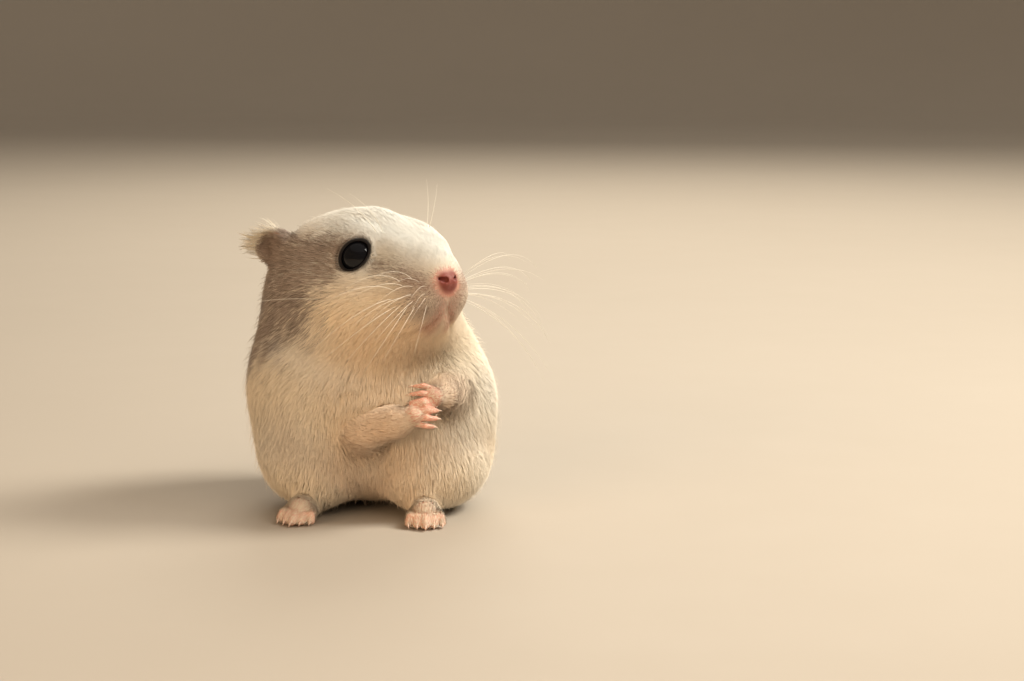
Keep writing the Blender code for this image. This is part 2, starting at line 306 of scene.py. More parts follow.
def tail_mass(p):
    return bars(to_hips(p), [(0, 16.5, 5.8), (0, 19.0, 4.8), (0, 19.0 + TAIL_LENGTH * 0.6, 4.0)], [2.1, 1.7, 1.0])


MASSES = {
    "head": head_mass,
    "trunk": trunk_mass,
    "ear_left": lambda p: ear_mass(p, 1),
    "ear_right": lambda p: ear_mass(p, -1),
    "nose": nose_mass,
    "foreleg_left": lambda p: arm_mass(p, 1),
    "foreleg_right": lambda p: arm_mass(p, -1),
    "forepaw_left": lambda p: paw_mass(p, 1),
    "forepaw_right": lambda p: paw_mass(p, -1),
    "hind_leg_left": lambda p: thigh_mass(p, 1),
    "hind_leg_right": lambda p: thigh_mass(p, -1),
    "hind_foot_left": lambda p: foot_mass(p, 1),
    "hind_foot_right": lambda p: foot_mass(p, -1),
    "tail": tail_mass,
}
BLEND = {
    "head": 4.0, "trunk": 4.0, "ear_left": 0.9, "ear_right": 0.9, "nose": 0.5,
    "foreleg_left": 1.8, "foreleg_right": 1.8, "forepaw_left": 0.5, "forepaw_right": 0.5,
    "hind_leg_left": 3.0, "hind_leg_right": 3.0, "hind_foot_left": 0.7, "hind_foot_right": 0.7, "tail": 1.6,
}
NAMES = list(MASSES)
FLESH = [n for n in NAMES if n in frame["nodes"]]


def masses_at(p):
    return {n: f(p) for n, f in MASSES.items()}


def outline(fields):
    d = None
    for name, value in fields.items():
        d = value if d is None else melt(d, value, BLEND[name])
    return d


def shares(fields, k=1.3):
    """How much of each mass a point belongs to; they add up to 1."""
    d = np.stack([fields[n] for n in NAMES])
    w = np.exp(-(d - d.min(0)) / k)
    w /= w.sum(0)
    return {n: w[i] for i, n in enumerate(NAMES)}


# ---------------------------------------------------------------- the coat over the masses
def eye_axes(side):
    """Long axis, short axis and outward axis of the opening between the lids, in the row frame."""
    n = np.array([0.46, side * 0.85, 0.26])
    n /= np.linalg.norm(n)
    up = np.array([0.0, 0.0, 1.0]) - n * n[2]
    up /= np.linalg.norm(up)
    forward = np.array([1.0, 0.0, 0.0]) - n * n[0]
    forward -= up * (forward @ up)
    forward /= np.linalg.norm(forward)
    a = math.radians(40.0)
    long_axis = forward * math.cos(a) + up * math.sin(a)
    short_axis = -forward * math.sin(a) + up * math.cos(a)
    return np.stack([long_axis, short_axis, n]) @ HEAD_AXES


EYE_LONG, EYE_SHORT = 2.32, 1.82  # half sizes of the opening, to the middle of the lid's rim


def to_eye(p, side):
    centre = from_head((EYE_AT[0], side * EYE_AT[1], EYE_AT[2]))
    return (p - f32(centre)) @ f32(eye_axes(side).T)


def eye_rim(e):
    """Distance outward from the rim of the opening, along the face, of points in the eye's axes."""
    ell = np.sqrt((e[..., 0] / EYE_LONG) ** 2 + (e[..., 1] / EYE_SHORT) ** 2) + 1e-6
    across = np.sqrt(e[..., 0] ** 2 + e[..., 1] ** 2)
    return across * (1.0 - 1.0 / ell)


MOUTH = [(15.6, 0.0, -5.6), (14.9, 0.7, -6.5), (13.5, 2.1, -7.7), (11.5, 3.6, -8.4), (9.9, 4.5, -8.3)]
FOLDS = [  # where the coat parts or tucks in: points, width, depth
    ([(-5.4, -14.6, 9.6), (-4.9, -13.9, 7.4), (-4.2, -12.6, 3.0)], 1.0, 0.7),
    ([(1.8, -14.8, 10.2), (2.0, -13.9, 7.6), (2.2, -12.8, 3.0)], 1.0, 0.8),
    ([(-3.9, -14.0, 17.2), (-1.2, -15.3, 18.2), (1.8, -16.0, 18.8), (3.6, -15.8, 19.4)], 0.9, 0.8),
    ([(4.2, -15.6, 20.4), (6.3, -15.2, 21.2), (8.8, -15.0, 21.0)], 0.9, 0.8),
]


def fold_depth(p):
    d = np.zeros(p.shape[:-1], np.float32)
    for points, width, depth in FOLDS:
        e = bars(p, points, [0.0] * len(points))
        d = np.maximum(d, depth * np.exp(-((e / width) ** 2)))
    return d


def mouth_depth(q):
    e = bars(mirrored(q), MOUTH, [0.0] * len(MOUTH))
    return 0.42 * np.exp(-((e / 0.42) ** 2))


def coat_depth(p, fields):
    """How far the skin lies inside the coat's outline."""
    w = shares(fields)
    q = to_head(p)
    r = None
    for side in (-1, 1):
        c = f32(from_head((EYE_AT[0], side * EYE_AT[1], EYE_AT[2])))
        e = np.sqrt(((p - c) ** 2).sum(-1))
        r = e if r is None else np.minimum(r, e)
    face = 1.25 + 0.55 * ramp(q[..., 2], 2.0, -6.0) * ramp(q[..., 0], 9.0, 3.0)
    face = face + (0.36 - face) * ramp(q[..., 0], 6.5, 13.5)
    face = face + (0.40 - face) * ramp(r, 5.4, 3.0)
    d = w["head"] * face
    d += w["trunk"] * 2.1
    for side in ("left", "right"):
        d += w["hind_leg_" + side] * 1.9
        d += w["foreleg_" + side] * 0.80
        d += w["forepaw_" + side] * 0.05
        d += w["hind_foot_" + side] * 0.13
        d += w["ear_" + side] * 0.14
    d += w["tail"] * 0.6
    d += w["nose"] * 0.04
    return d


# ---------------------------------------------------------------- sampled fields
STEP = 0.22
LOW = np.array((-21.56, -23.32, -3.08))
COUNTS = (np.ceil((np.array((21.6, 26.6, 47.0)) - LOW) / STEP / 4).astype(int)) * 4 + 1
POOL = ThreadPoolExecutor(4)


def evaluate(points):
    """Outline with its folds, and skin, at the points."""
    fields = masses_at(points)
    d = outline(fields)
    q = to_head(points)
    seen = d + fold_depth(points) + mouth_depth(q)
    return seen, seen + coat_depth(points, fields)


def in_parts(function, points, size=60000):
    parts = [points[i:i + size] for i in range(0, len(points), size)]
    made = list(POOL.map(function, parts))
    return tuple(np.concatenate([m[k] for m in made]) for k in range(len(made[0])))


def finer(values, counts):
    """Values on a lattice four times as fine, along straight lines."""
    for axis in range(3):
        values = np.moveaxis(values, axis, 0)
        a, b = values[:-1], values[1:]
        out = np.empty(((len(values) - 1) * 4 + 1,) + values.shape[1:], np.float32)
        for i in range(4):
            out[i:-1:4] = a + (b - a) * np.float32(i / 4)
        out[-1] = values[-1]
        values = np.moveaxis(out, 0, axis)
    return np.ascontiguousarray(values)


def lattice(low, counts, step):
    axes = [f32(low[i] + step * np.arange(counts[i])) for i in range(3)]
    return np.stack(np.meshgrid(*axes, indexing="ij"), -1)


COARSE = (COUNTS - 1) // 4 + 1
coarse_points = lattice(LOW, COARSE, STEP * 4).reshape(-1, 3)
coarse_seen, coarse_skin = in_parts(evaluate, coarse_points)
SEEN = finer(coarse_seen.reshape(COARSE), COUNTS)
SKIN = finer(coarse_skin.reshape(COARSE), COUNTS)
near = np.flatnonzero(((SEEN > -3.4) & (SEEN < 1.1)).ravel())
index = np.stack(np.unravel_index(near, COUNTS), -1)
band_points = f32(LOW + index * STEP)
fine_seen, fine_skin = in_parts(evaluate, band_points)
SEEN.ravel()[near] = fine_seen
SKIN.ravel()[near] = fine_skin
del band_points, index, near


def edit(centre, half, function):
    """Changes the skin in a box round a point."""
    lo = np.maximum(np.floor((np.asarray(centre) - half - LOW) / STEP).astype(int), 0)
    hi = np.minimum(np.ceil((np.asarray(centre) + half - LOW) / STEP).astype(int) + 1, COUNTS)
    window = tuple(slice(a, b) for a, b in zip(lo, hi))
    points = lattice(LOW + lo * STEP, hi - lo, STEP)
    SKIN[window] = function(points, SKIN[window])


def lids(side):
    def change(p, skin):
        e = to_eye(p, side)
        r = np.sqrt((e * e).sum(-1))
        shell = np.maximum(r - (EYE_R + 0.36), -e[..., 2] - 0.6)
        skin = melt(skin, shell, 0.8)
        opening = np.maximum(eye_rim(e) + 0.12, -e[..., 2])
        skin = carve(skin, opening, 0.26)
        return np.maximum(skin, -(r - (EYE_R + 0.03)))
    return change


for side in (-1, 1):
    edit(from_head((EYE_AT[0], side * EYE_AT[1], EYE_AT[2])), 5.0, lids(side))


def nostrils(p, skin):
    q = mirrored(to_head(p))
    hole = ellipsoid(q, (NOSE_TIP - 0.45, 0.86, -1.62), (0.34, 0.62, 0.40))
    slit = bar(q, (NOSE_TIP - 0.35, 0.9, -1.55), (NOSE_TIP - 1.5, 1.75, -1.25), 0.30, 0.16)
    skin = carve(skin, np.minimum(hole, slit), 0.16)
    groove = bars(q, [(NOSE_TIP + 0.22, 0, -0.9), (NOSE_TIP + 0.10, 0, -2.6), (NOSE_TIP - 0.75, 0, -4.0), (NOSE_TIP - 1.5, 0, -5.6)],
                  [0.10, 0.20, 0.26, 0.24])
    skin = carve(skin, groove, 0.22)
    lip = bars(q, MOUTH, [0.24] * len(MOUTH))
    return carve(skin, lip - 0.06, 0.26)


edit(from_head((13.4, 0.0, -4.5)), 6.4, nostrils)
FLOOR_AT = 0.02
z = (LOW[2] + STEP * np.arange(COUNTS[2])).astype(np.float32)
SKIN[:] = np.maximum(SKIN, FLOOR_AT - z[None, None, :])
slopes = [f32(g) for g in np.gradient(SEEN, np.float32(STEP))]


def sample(grid, p):
    g = (np.asarray(p, np.float32) - f32(LOW)) / np.float32(STEP)
    i = np.clip(np.floor(g).astype(np.int32), 0, COUNTS - 2)
    f = g - i
    out = 0.0
    for a in (0, 1):
        wx = f[:, 0] if a else 1 - f[:, 0]
        for b in (0, 1):
            wy = f[:, 1] if b else 1 - f[:, 1]
            for c in (0, 1):
                wz = f[:, 2] if c else 1 - f[:, 2]
                out = out + grid[i[:, 0] + a, i[:, 1] + b, i[:, 2] + c] * (wx * wy * wz)
    return out


def unit(v):
    return v / np.maximum(np.linalg.norm(v, axis=-1, keepdims=True), 1e-9)


def away(p):
    """Direction out of the coat at p."""
    return unit(np.stack([sample(g, p) for g in slopes], -1))


# ---------------------------------------------------------------- skin mesh
vdb = openvdb.FloatGrid()
vdb.background = 5.0
vdb.copyFromArray(np.clip(SKIN, -5, 5))
skin_points, skin_tris, skin_quads = vdb.convertToPolygons(isovalue=0.0, adaptivity=0.0)
skin_points = skin_points * STEP + LOW
faces = np.concatenate([skin_quads[:, [0, 1, 2]], skin_quads[:, [0, 2, 3]], skin_tris.reshape(-1, 3)]).astype(np.int64)


def outer_body(count, faces):
    """The faces of the largest connected body."""
    label = np.arange(count)
    while True:
        low = label[faces].min(1)
        before = label.copy()
        for k in range(3):
            np.minimum.at(label, faces[:, k], low)
        label = label[label]
        if (label == before).all():
            break
    owner = label[faces[:, 0]]
    names, sizes = np.unique(owner, return_counts=True)
    return faces[owner == names[sizes.argmax()]]


faces = outer_body(len(skin_points), faces)
used, back = np.unique(faces, return_inverse=True)
skin_points, faces = skin_points[used], back.reshape(-1, 3)


def face_normals(points, faces):
    a, b, c = (points[faces[:, k]] for k in range(3))
    return np.cross(b - a, c - a)


def point_normals(points, faces):
    n = np.zeros_like(points)
    f = face_normals(points, faces)
    for k in range(3):
        for axis in range(3):
            n[:, axis] += np.bincount(faces[:, k], f[:, axis], len(points))
    return unit(n)


skin_normals = point_normals(skin_points, faces)


# ---------------------------------------------------------------- markings, with some painted light and shade
CREAM = f32((0.87, 0.720, 0.510))
WHITE = f32((0.85, 0.820, 0.760))
# a warm cream that also carries painted warm shade
TAN_WITH_WARM_SHADE = f32((0.84, 0.595, 0.365))
GREY_BROWN = f32((0.378, 0.315, 0.274))
DARK = f32((0.120, 0.094, 0.080))
SLATE = f32((0.29, 0.28, 0.285))
PINK = f32((0.74, 0.37, 0.28))
NOSE_PINK = f32((0.218, 0.056, 0.044))
LID_BLACK = f32((0.012, 0.010, 0.010))


def lumps(p, scale, seed):
    """A soft value from about -1 to 1 that varies over the given distance in mm."""
    rng = np.random.default_rng(seed)
    v = np.zeros(len(p), np.float32)
    for _ in range(7):
        k = rng.normal(size=3)
        k *= (0.7 + 0.6 * rng.random()) / np.linalg.norm(k) * 2 * math.pi / scale
        v += np.sin(p @ f32(k) + np.float32(rng.random() * 6.283))
    return v / 2.6


def streaks(p, flow, scale, seed, reach=2.4, waves=40):
    """A value of about -1 to 1 in bands that run along the lie of the coat: waves averaged over the reach each way."""
    rng = np.random.default_rng(seed)
    v = np.zeros(len(p), np.float32)
    for _ in range(waves):
        k = rng.normal(size=3)
        k *= (0.6 + 0.8 * rng.random()) / np.linalg.norm(k) * 2 * math.pi / scale
        v += np.sin(p @ f32(k) + np.float32(rng.random() * 6.283)) * np.sinc((flow @ f32(k)) * reach / math.pi)
    return v / (2.0 * v.std())


def grey_share(p, w):
    """0 where the coat is cream, 1 where it is grey-brown with dark ticking."""
    q = to_head(p)
    s = mirrored(q)
    wobble = lumps(p, 4.5, 11) * 0.6 + lumps(p, 1.7, 12) * 0.5
    # temple, back of the cheek and nape: behind a slanting line that starts under the eye
    line = (q[:, 2] + 1.2) - 1.29 * (q[:, 0] - 5.0)
    temple = ramp(line + wobble, -7.0, 9.5) * ramp(q[:, 2] + wobble * 0.5, 8.4, 4.2)
    temple = temple * np.clip(ramp(s[:, 1] + wobble * 0.5, 3.6, 7.2) + ramp(q[:, 0] + wobble, 0.0, -6.0), 0, 1)
    crown = 0.7 * ramp(q[:, 0] + wobble, -2.0, -10.5) * ramp(q[:, 2], 2.5, 6.5)
    band = bars(s, [(9.6, 6.0, 1.2), (12.0, 4.9, 0.2), (15.0, 3.2, -1.6)], [0, 0, 0])
    band = 0.55 * bump(band, 1.7)
    head = np.clip(np.maximum(np.maximum(temple * 0.86, crown * 0.8), band), 0, 1)
    # trunk: the back's colour, twisted with the neck, with three pale arches along its edge
    yaw = np.interp(p[:, 2], [6, 14, 20, 28], [-4, 14, 34, 44])
    c = turned(p, yaw)
    arch = 1.7 * np.sin(c[:, 1] * 0.50 + 0.6)
    edge = 21.2 - 0.26 * c[:, 1] + arch * ramp(c[:, 1], 0, 6) - 9.0 * ramp(c[:, 1], 7, 19)
    edge = edge - 7.0 * ramp(c[:, 0], 0.0, 8.0) * ramp(c[:, 1], 2.0, 9.0)
    side = ramp(p[:, 2] - edge + wobble * 1.3, -2.2, 5.2) * ramp(c[:, 1] + wobble * 1.4, -6.0, 7.0)
    trunk = side * (0.78 + 0.22 * bump(c[:, 0], 3.0))
    g = w["head"] * head + w["trunk"] * trunk
    g += (w["ear_left"] + w["ear_right"]) * 0.9
    thigh = ramp(p[:, 2] - edge + wobble, -1.5, 4.0) * ramp(c[:, 1], -2, 3)
    g += (w["hind_leg_left"] + w["hind_leg_right"]) * thigh
    return np.clip(g, 0, 1)


def dorsal_share(p):
    """The dark stripe down the middle of the back."""
    yaw = np.interp(p[:, 2], [6, 14, 20, 28], [-7, -4, 10, 26])
    c = turned(p - f32((HIP_X, 0, 0)), yaw)
    wobble = lumps(p, 4.0, 51) * 0.5
    return bump(c[:, 0] + wobble, 1.7) * ramp(c[:, 1], 2.0, 8.0) * ramp(p[:, 2], 9.0, 14.0)


def cream_at(p, w):
    """The pale colour of the coat: whiter on the face and flanks, warmer on cheeks, chest and belly, partly as painted
    warm shade, with marks of painted shade and painted light.
    """
    q = to_head(p)
    warm = 0.55 + 0.16 * lumps(p, 11.0, 21)
    warm = warm * (1 - w["head"] * ramp(q[:, 2], -3.0, 2.0))
    warm = np.clip(warm, 0, 1)[:, None]
    colour = WHITE + (CREAM - WHITE) * warm
    # the lower cheeks are as warm as the chest: cream with painted warm shade
    cheek = w["head"] * ramp(q[:, 2], -4.0, -9.0) * ramp(q[:, 0], -2.0, 4.0)
    colour = colour + (TAN_WITH_WARM_SHADE - colour) * (0.55 * cheek)[:, None]
    # chest, chin and the middle of the belly: warm cream, partly painted warm shade
    front = p @ f32((0.25, -0.97, 0.0))
    tan_and_warm_shade = ramp(front, 7.0, 15.0) * bump(p[:, 0] - 0.5, 11.0) * ramp(p[:, 2], 36.0, 27.0)
    tan_and_warm_shade = np.clip(tan_and_warm_shade * (0.75 + 0.14 * lumps(p, 8.0, 22)), 0, 1)[:, None]
    colour = colour + (TAN_WITH_WARM_SHADE - colour) * tan_and_warm_shade
    # lower belly and forelegs: darker, warmer cream, partly the coat's own tone and partly painted warm shade low down
    low = 0.55 * ramp(p[:, 2] + 1.2 * lumps(p, 9.0, 23), 19.0, 6.0) * ramp(front, 0.0, 10.0) * w["trunk"]
    low = np.clip(low + 0.30 * (w["foreleg_left"] + w["foreleg_right"]), 0, 1)[:, None]
    colour = colour + (f32((0.79, 0.515, 0.310)) - colour) * low
    # painted shade: the crown and forehead are darkened where the light falls strongest on them
    top = w["head"] * ramp(q[:, 2], -1.0, 2.5) * ramp(q[:, 0], -4.0, 2.0)
    colour = colour * (1 - top[:, None] * f32((0.14, 0.11, 0.09)))
    # painted shade: the sides of the snout from the eye to the nose are greyed, standing for the shade on the side
    # turned from the light
    side = bump(bars(mirrored(q), [(8.6, 5.2, 1.6), (13.4, 3.2, 0.4)], [0, 0]), 2.3) * w["head"]
    colour = colour + (f32((0.50, 0.45, 0.385)) - colour) * (0.55 * side)[:, None]
    # painted light: the chest is lightened, standing for light bounced up into the shade under the head
    chest = ramp(front, 6.0, 11.0) * bump(p[:, 0] - 0.5, 10.0) * ramp(p[:, 2], 21.0, 25.0) * ramp(p[:, 2], 36.0, 31.0)
    return colour * (1 + 0.10 * chest)[:, None]


def pink_share(p, w):
    """Where the skin shows pink through thin hair."""
    q = to_head(p)
    s = mirrored(q)
    g = w["forepaw_left"] + w["forepaw_right"] + 0.7 * (w["hind_foot_left"] + w["hind_foot_right"])
    g += 0.50 * (w["foreleg_right"] + w["foreleg_left"])
    lip = bars(s, [(16.4, 0, -3.2), (15.7, 0.2, -5.0), (14.8, 0.9, -6.4)], [0, 0, 0])
    g += 0.95 * bump(lip, 1.3) * w["head"]
    near_nose = np.sqrt(((s - f32((16.0, 0.7, -1.7))) ** 2).sum(-1))
    g += 0.7 * ramp(near_nose, 2.8, 1.5) * w["head"]
    mouth = bars(s, MOUTH, [0] * len(MOUTH))
    g += 0.75 * bump(mouth, 1.1) * w["head"]
    inner = 0.0
    for side, name in ((1, "ear_left"), (-1, "ear_right")):
        e = to_ear(p, side)
        inner = inner + w[name] * ramp(e[:, 2], -0.2, 0.8) * 0.45
    return np.clip(g + inner, 0, 1)


def ear_rim(p, w):
    """1 on the thin back edge of an ear, where long pale hairs grow."""
    r = 0.0
    for side, name in ((1, "ear_left"), (-1, "ear_right")):
        e = to_ear(p, side)
        far = np.sqrt(((e[:, 0] - EAR_LENGTH * 0.45) / (EAR_LENGTH * 0.60)) ** 2 + (e[:, 1] / (EAR_WIDTH * 0.52)) ** 2)
        r = r + w[name] * ramp(far, 0.62, 0.95) * ramp(e[:, 0], EAR_LENGTH * 0.15, EAR_LENGTH * 0.6)
    return np.clip(r, 0, 1)


def skin_colour(p):
    fields = masses_at(f32(p))
    w = shares(fields, 0.6)
    g = grey_share(p, w)[:, None]
    colour = cream_at(p, w) * 0.96
    ticked = GREY_BROWN * (1 + 0.10 * lumps(p, 1.3, 31))[:, None]
    colour = colour + (ticked - colour) * g
    ear = (w["ear_left"] + w["ear_right"])[:, None]
    colour = colour + (f32((0.24, 0.155, 0.12)) - colour) * ear * 0.8
    pink = pink_share(p, w)[:, None]
    colour = colour + (PINK - colour) * pink
    q = to_head(p)
    s = mirrored(q)
    near = np.sqrt(((s - f32((16.0, 0.7, -1.9))) ** 2).sum(-1))
    colour = colour + (f32((0.43, 0.16, 0.115)) - colour) * (0.8 * w["head"] * ramp(near, 2.7, 1.7))[:, None]
    nose = np.clip(ramp(w["nose"], 0.18, 0.60), 0, 1)[:, None]
    colour = colour + (NOSE_PINK - colour) * nose
    # painted shade: the carved nostril holes are darkened inside
    hole = bars(s, [(NOSE_TIP - 0.35, 0.88, -1.6), (NOSE_TIP - 1.5, 1.75, -1.25)], [0, 0])
    dark = ramp(hole, 0.50, 0.22)[:, None]
    colour = colour + (f32((0.16, 0.028, 0.022)) - colour) * dark
    # painted shade: the carved groove below the nose is darkened
    groove = bars(s, [(NOSE_TIP + 0.22, 0, -0.9), (NOSE_TIP + 0.10, 0, -2.6), (NOSE_TIP - 0.75, 0, -4.0), (NOSE_TIP - 1.5, 0, -5.6)], [0] * 4)
    colour = colour * (1 - 0.45 * ramp(groove, 0.35, 0.15))[:, None]
    lip = bars(s, MOUTH, [0] * len(MOUTH))
    colour = colour + (f32((0.42, 0.17, 0.125)) - colour) * (0.8 * ramp(lip, 0.60, 0.2))[:, None]
    for side in (-1, 1):
        e = to_eye(p, side)
        rim = eye_rim(e)
        black = ramp(rim, 0.62, 0.30) * ramp(e[:, 2], -1.2, 0.0)
        colour = colour + (LID_BLACK - colour) * black[:, None]
    return np.clip(colour, 0, 1)


# ---------------------------------------------------------------- materials
def new_material(name):
    m = bpy.data.materials.new(name)
    m.use_nodes = True
    return m, m.node_tree, m.node_tree.nodes["Principled BSDF"]


def noise(tree, scale, detail=3.0, rough=0.55):
    place = tree.nodes.new("ShaderNodeTexCoord")
    n = tree.nodes.new("ShaderNodeTexNoise")
    n.inputs["Scale"].default_value = scale
    n.inputs["Detail"].default_value = detail
    n.inputs["Roughness"].default_value = rough
    tree.links.new(place.outputs["Object"], n.inputs["Vector"])
    return n


def remap(tree, value, low, high):
    r = tree.nodes.new("ShaderNodeMapRange")
    r.inputs["To Min"].default_value = low
    r.inputs["To Max"].default_value = high
    tree.links.new(value, r.inputs["Value"])
    return r.outputs["Result"]


def tinted(tree, attribute, scale, low, high):
    """The mesh's own colours, made lighter and darker by a fine noise."""
    a = tree.nodes.new("ShaderNodeAttribute")
    a.attribute_name = attribute
    factor = remap(tree, noise(tree, scale).outputs["Fac"], low, high)
    mul = tree.nodes.new("ShaderNodeVectorMath")
    mul.operation = "SCALE"
    tree.links.new(a.outputs["Color"], mul.inputs[0])
    tree.links.new(factor, mul.inputs["Scale"])
    return mul.outputs["Vector"]


def coat_material():
    m, tree, s = new_material("coat_hair")
    tree.links.new(tinted(tree, "coat", 900.0, 0.92, 1.08), s.inputs["Base Color"])
    tree.links.new(remap(tree, noise(tree, 1500.0).outputs["Fac"], 0.60, 0.88), s.inputs["Roughness"])
    s.inputs["Specular IOR Level"].default_value = 0.04
    return m


def skin_material():
    m, tree, s = new_material("skin_and_underfur")
    tree.links.new(tinted(tree, "coat", 700.0, 0.86, 1.14), s.inputs["Base Color"])
    tree.links.new(remap(tree, noise(tree, 500.0).outputs["Fac"], 0.42, 0.70), s.inputs["Roughness"])
    s.inputs["Specular IOR Level"].default_value = 0.35
    s.inputs["Subsurface Weight"].default_value = 0.12
    s.inputs["Subsurface Radius"].default_value = (0.0016, 0.0007, 0.0004)
    s.inputs["Subsurface Scale"].default_value = 0.5
    fine = noise(tree, 2600.0, 4.0, 0.6)
    b = tree.nodes.new("ShaderNodeBump")
    b.inputs["Strength"].default_value = 0.35
    b.inputs["Distance"].default_value = 0.00012
    tree.links.new(fine.outputs["Fac"], b.inputs["Height"])
    tree.links.new(b.outputs["Normal"], s.inputs["Normal"])
    return m


def eye_material():
    m, tree, s = new_material("black_eye")
    ramp_node = tree.nodes.new("ShaderNodeValToRGB")
    ramp_node.color_ramp.elements[0].color = (0.0030, 0.0032, 0.0045, 1)
    ramp_node.color_ramp.elements[1].color = (0.0075, 0.0078, 0.0105, 1)
    tree.links.new(noise(tree, 260.0).outputs["Fac"], ramp_node.inputs["Fac"])
    tree.links.new(ramp_node.outputs["Color"], s.inputs["Base Color"])
    tree.links.new(remap(tree, noise(tree, 900.0).outputs["Fac"], 0.03, 0.09), s.inputs["Roughness"])
    s.inputs["Specular IOR Level"].default_value = 0.30
    return m


def claw_material():
    m, tree, s = new_material("horn_claw")
    tree.links.new(tinted(tree, "coat", 1200.0, 0.85, 1.12), s.inputs["Base Color"])
    tree.links.new(remap(tree, noise(tree, 1600.0).outputs["Fac"], 0.28, 0.45), s.inputs["Roughness"])
    s.inputs["Specular IOR Level"].default_value = 0.5
    return m


def whisker_material():
    m, tree, s = new_material("whisker_hair")
    tree.links.new(tinted(tree, "coat", 600.0, 0.85, 1.1), s.inputs["Base Color"])
    tree.links.new(remap(tree, noise(tree, 900.0).outputs["Fac"], 0.25, 0.4), s.inputs["Roughness"])
    s.inputs["Specular IOR Level"].default_value = 0.5
    return m


def floor_material():
    m, tree, s = new_material("pale_floor")
    r = tree.nodes.new("ShaderNodeValToRGB")
    r.color_ramp.elements[0].color = (0.430, 0.382, 0.326, 1)
    r.color_ramp.elements[1].color = (0.462, 0.413, 0.355, 1)
    tree.links.new(noise(tree, 9.0).outputs["Fac"], r.inputs["Fac"])
    tree.links.new(r.outputs["Color"], s.inputs["Base Color"])
    tree.links.new(remap(tree, noise(tree, 60.0).outputs["Fac"], 0.6, 0.75), s.inputs["Roughness"])
    s.inputs["Specular IOR Level"].default_value = 0.15
    return m


# ---------------------------------------------------------------- meshes from arrays
def fast_mesh(name, points, faces, colours=None, uv=None, normals=None, material=None, slot=None):
    """An object from arrays in mm: triangles, colours by point, one uv pair for each face corner."""
    mesh = bpy.data.meshes.new(name)
    points = (np.asarray(points, float) + STAND_AT) * MM
    mesh.vertices.add(len(points))
    mesh.vertices.foreach_set("co", f32(points).ravel())
    mesh.loops.add(len(faces) * 3)
    mesh.loops.foreach_set("vertex_index", np.ascontiguousarray(faces, np.int32).ravel())
    mesh.polygons.add(len(faces))
    mesh.polygons.foreach_set("loop_start", np.arange(0, len(faces) * 3, 3, dtype=np.int32))
    mesh.update(calc_edges=True)
    mesh.shade_smooth()
    if colours is not None:
        a = mesh.color_attributes.new("coat", "FLOAT_COLOR", "POINT")
        rgba = np.ones((len(points), 4), np.float32)
        rgba[:, :3] = colours
        a.data.foreach_set("color", rgba.ravel())
    if uv is not None:
        layer = mesh.uv_layers.new(name="OFBake")
        layer.data.foreach_set("uv", f32(uv).ravel())
    if normals is not None:  # one for each face corner
        free = mesh.attributes.new("custom_normal", "FLOAT_VECTOR", "CORNER")
        free.data.foreach_set("vector", f32(normals).ravel())
    if material is not None:
        mesh.materials.append(material)
    obj = bpy.data.objects.new(name, mesh)
    bpy.context.scene.collection.objects.link(obj)
    if slot is not None:
        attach(obj, "root")
    return obj


skin = fast_mesh("skin", skin_points, faces, skin_colour(f32(skin_points)), material=skin_material(), slot="cream_coat")
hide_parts(*FLESH)


# ---------------------------------------------------------------- eyes
def eye_mesh(side):
    """A ball with the clear front slightly raised."""
    rows, columns = 40, 64
    points = [(0.0, 0.0, 1.0)]
    for i in range(1, rows):
        a = math.pi * i / rows
        for j in range(columns):
            b = 2 * math.pi * j / columns
            points.append((math.sin(a) * math.cos(b), math.sin(a) * math.sin(b), math.cos(a)))
    points.append((0.0, 0.0, -1.0))
    points = np.array(points)
    raised = 0.09 * np.exp(-((np.arccos(np.clip(points[:, 2], -1, 1)) / 0.75) ** 2))
    points = points * (EYE_R - 0.03 + raised)[:, None]
    made = []
    last = len(points) - 1
    for j in range(columns):
        k = (j + 1) % columns
        made.append((0, 1 + j, 1 + k))
        for i in range(rows - 2):
            a, b, c, d = 1 + i * columns + j, 1 + i * columns + k, 1 + (i + 1) * columns + k, 1 + (i + 1) * columns + j
            made += [(a, d, c), (a, c, b)]
        made.append((last, 1 + (rows - 2) * columns + k, 1 + (rows - 2) * columns + j))
    centre = from_head((EYE_AT[0], side * EYE_AT[1], EYE_AT[2]))
    axes = eye_axes(side)
    if np.linalg.det(axes) < 0:
        made = [(a, c, b) for a, b, c in made]
    return points @ axes + centre, np.array(made)


eye_finish = eye_material()
for side, name in ((1, "eye_left"), (-1, "eye_right")):
    points, made = eye_mesh(side)
    ball = fast_mesh(name + "_ball", points, made, material=eye_finish, slot="black_eye")
    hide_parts(name)


# ---------------------------------------------------------------- claws
def tube(points, radii, sides=6):
    """A closed tapered tube along points."""
    points = np.asarray(points, float)
    n = len(points)
    way = unit(np.gradient(points, axis=0))
    ref = np.array((0.0, 0.0, 1.0)) if abs(way[0][2]) < 0.9 else np.array((1.0, 0.0, 0.0))
    verts = []
    side = np.cross(way[0], ref)
    for i in range(n):
        side = side - way[i] * (side @ way[i])
        side /= np.linalg.norm(side)
        up = np.cross(side, way[i])
        for j in range(sides):
            a = 2 * math.pi * j / sides
            verts.append(points[i] + radii[i] * (side * math.cos(a) - up * math.sin(a)))
    made = []
    for i in range(n - 1):
        for j in range(sides):
            a, b = i * sides + j, i * sides + (j + 1) % sides
            c, d = b + sides, a + sides
            made += [(a, b, c), (a, c, d)]
    verts += [points[0], points[-1]]
    for j in range(sides):
        k = (j + 1) % sides
        made.append((n * sides, k, j))
        made.append((n * sides + 1, (n - 1) * sides + j, (n - 1) * sides + k))
    return np.array(verts), np.array(made)


def join(parts):
    points, made, count = [], [], 0
    for p, f in parts:
        points.append(p)
        made.append(f + count)
        count += len(p)
    return np.concatenate(points), np.concatenate(made)


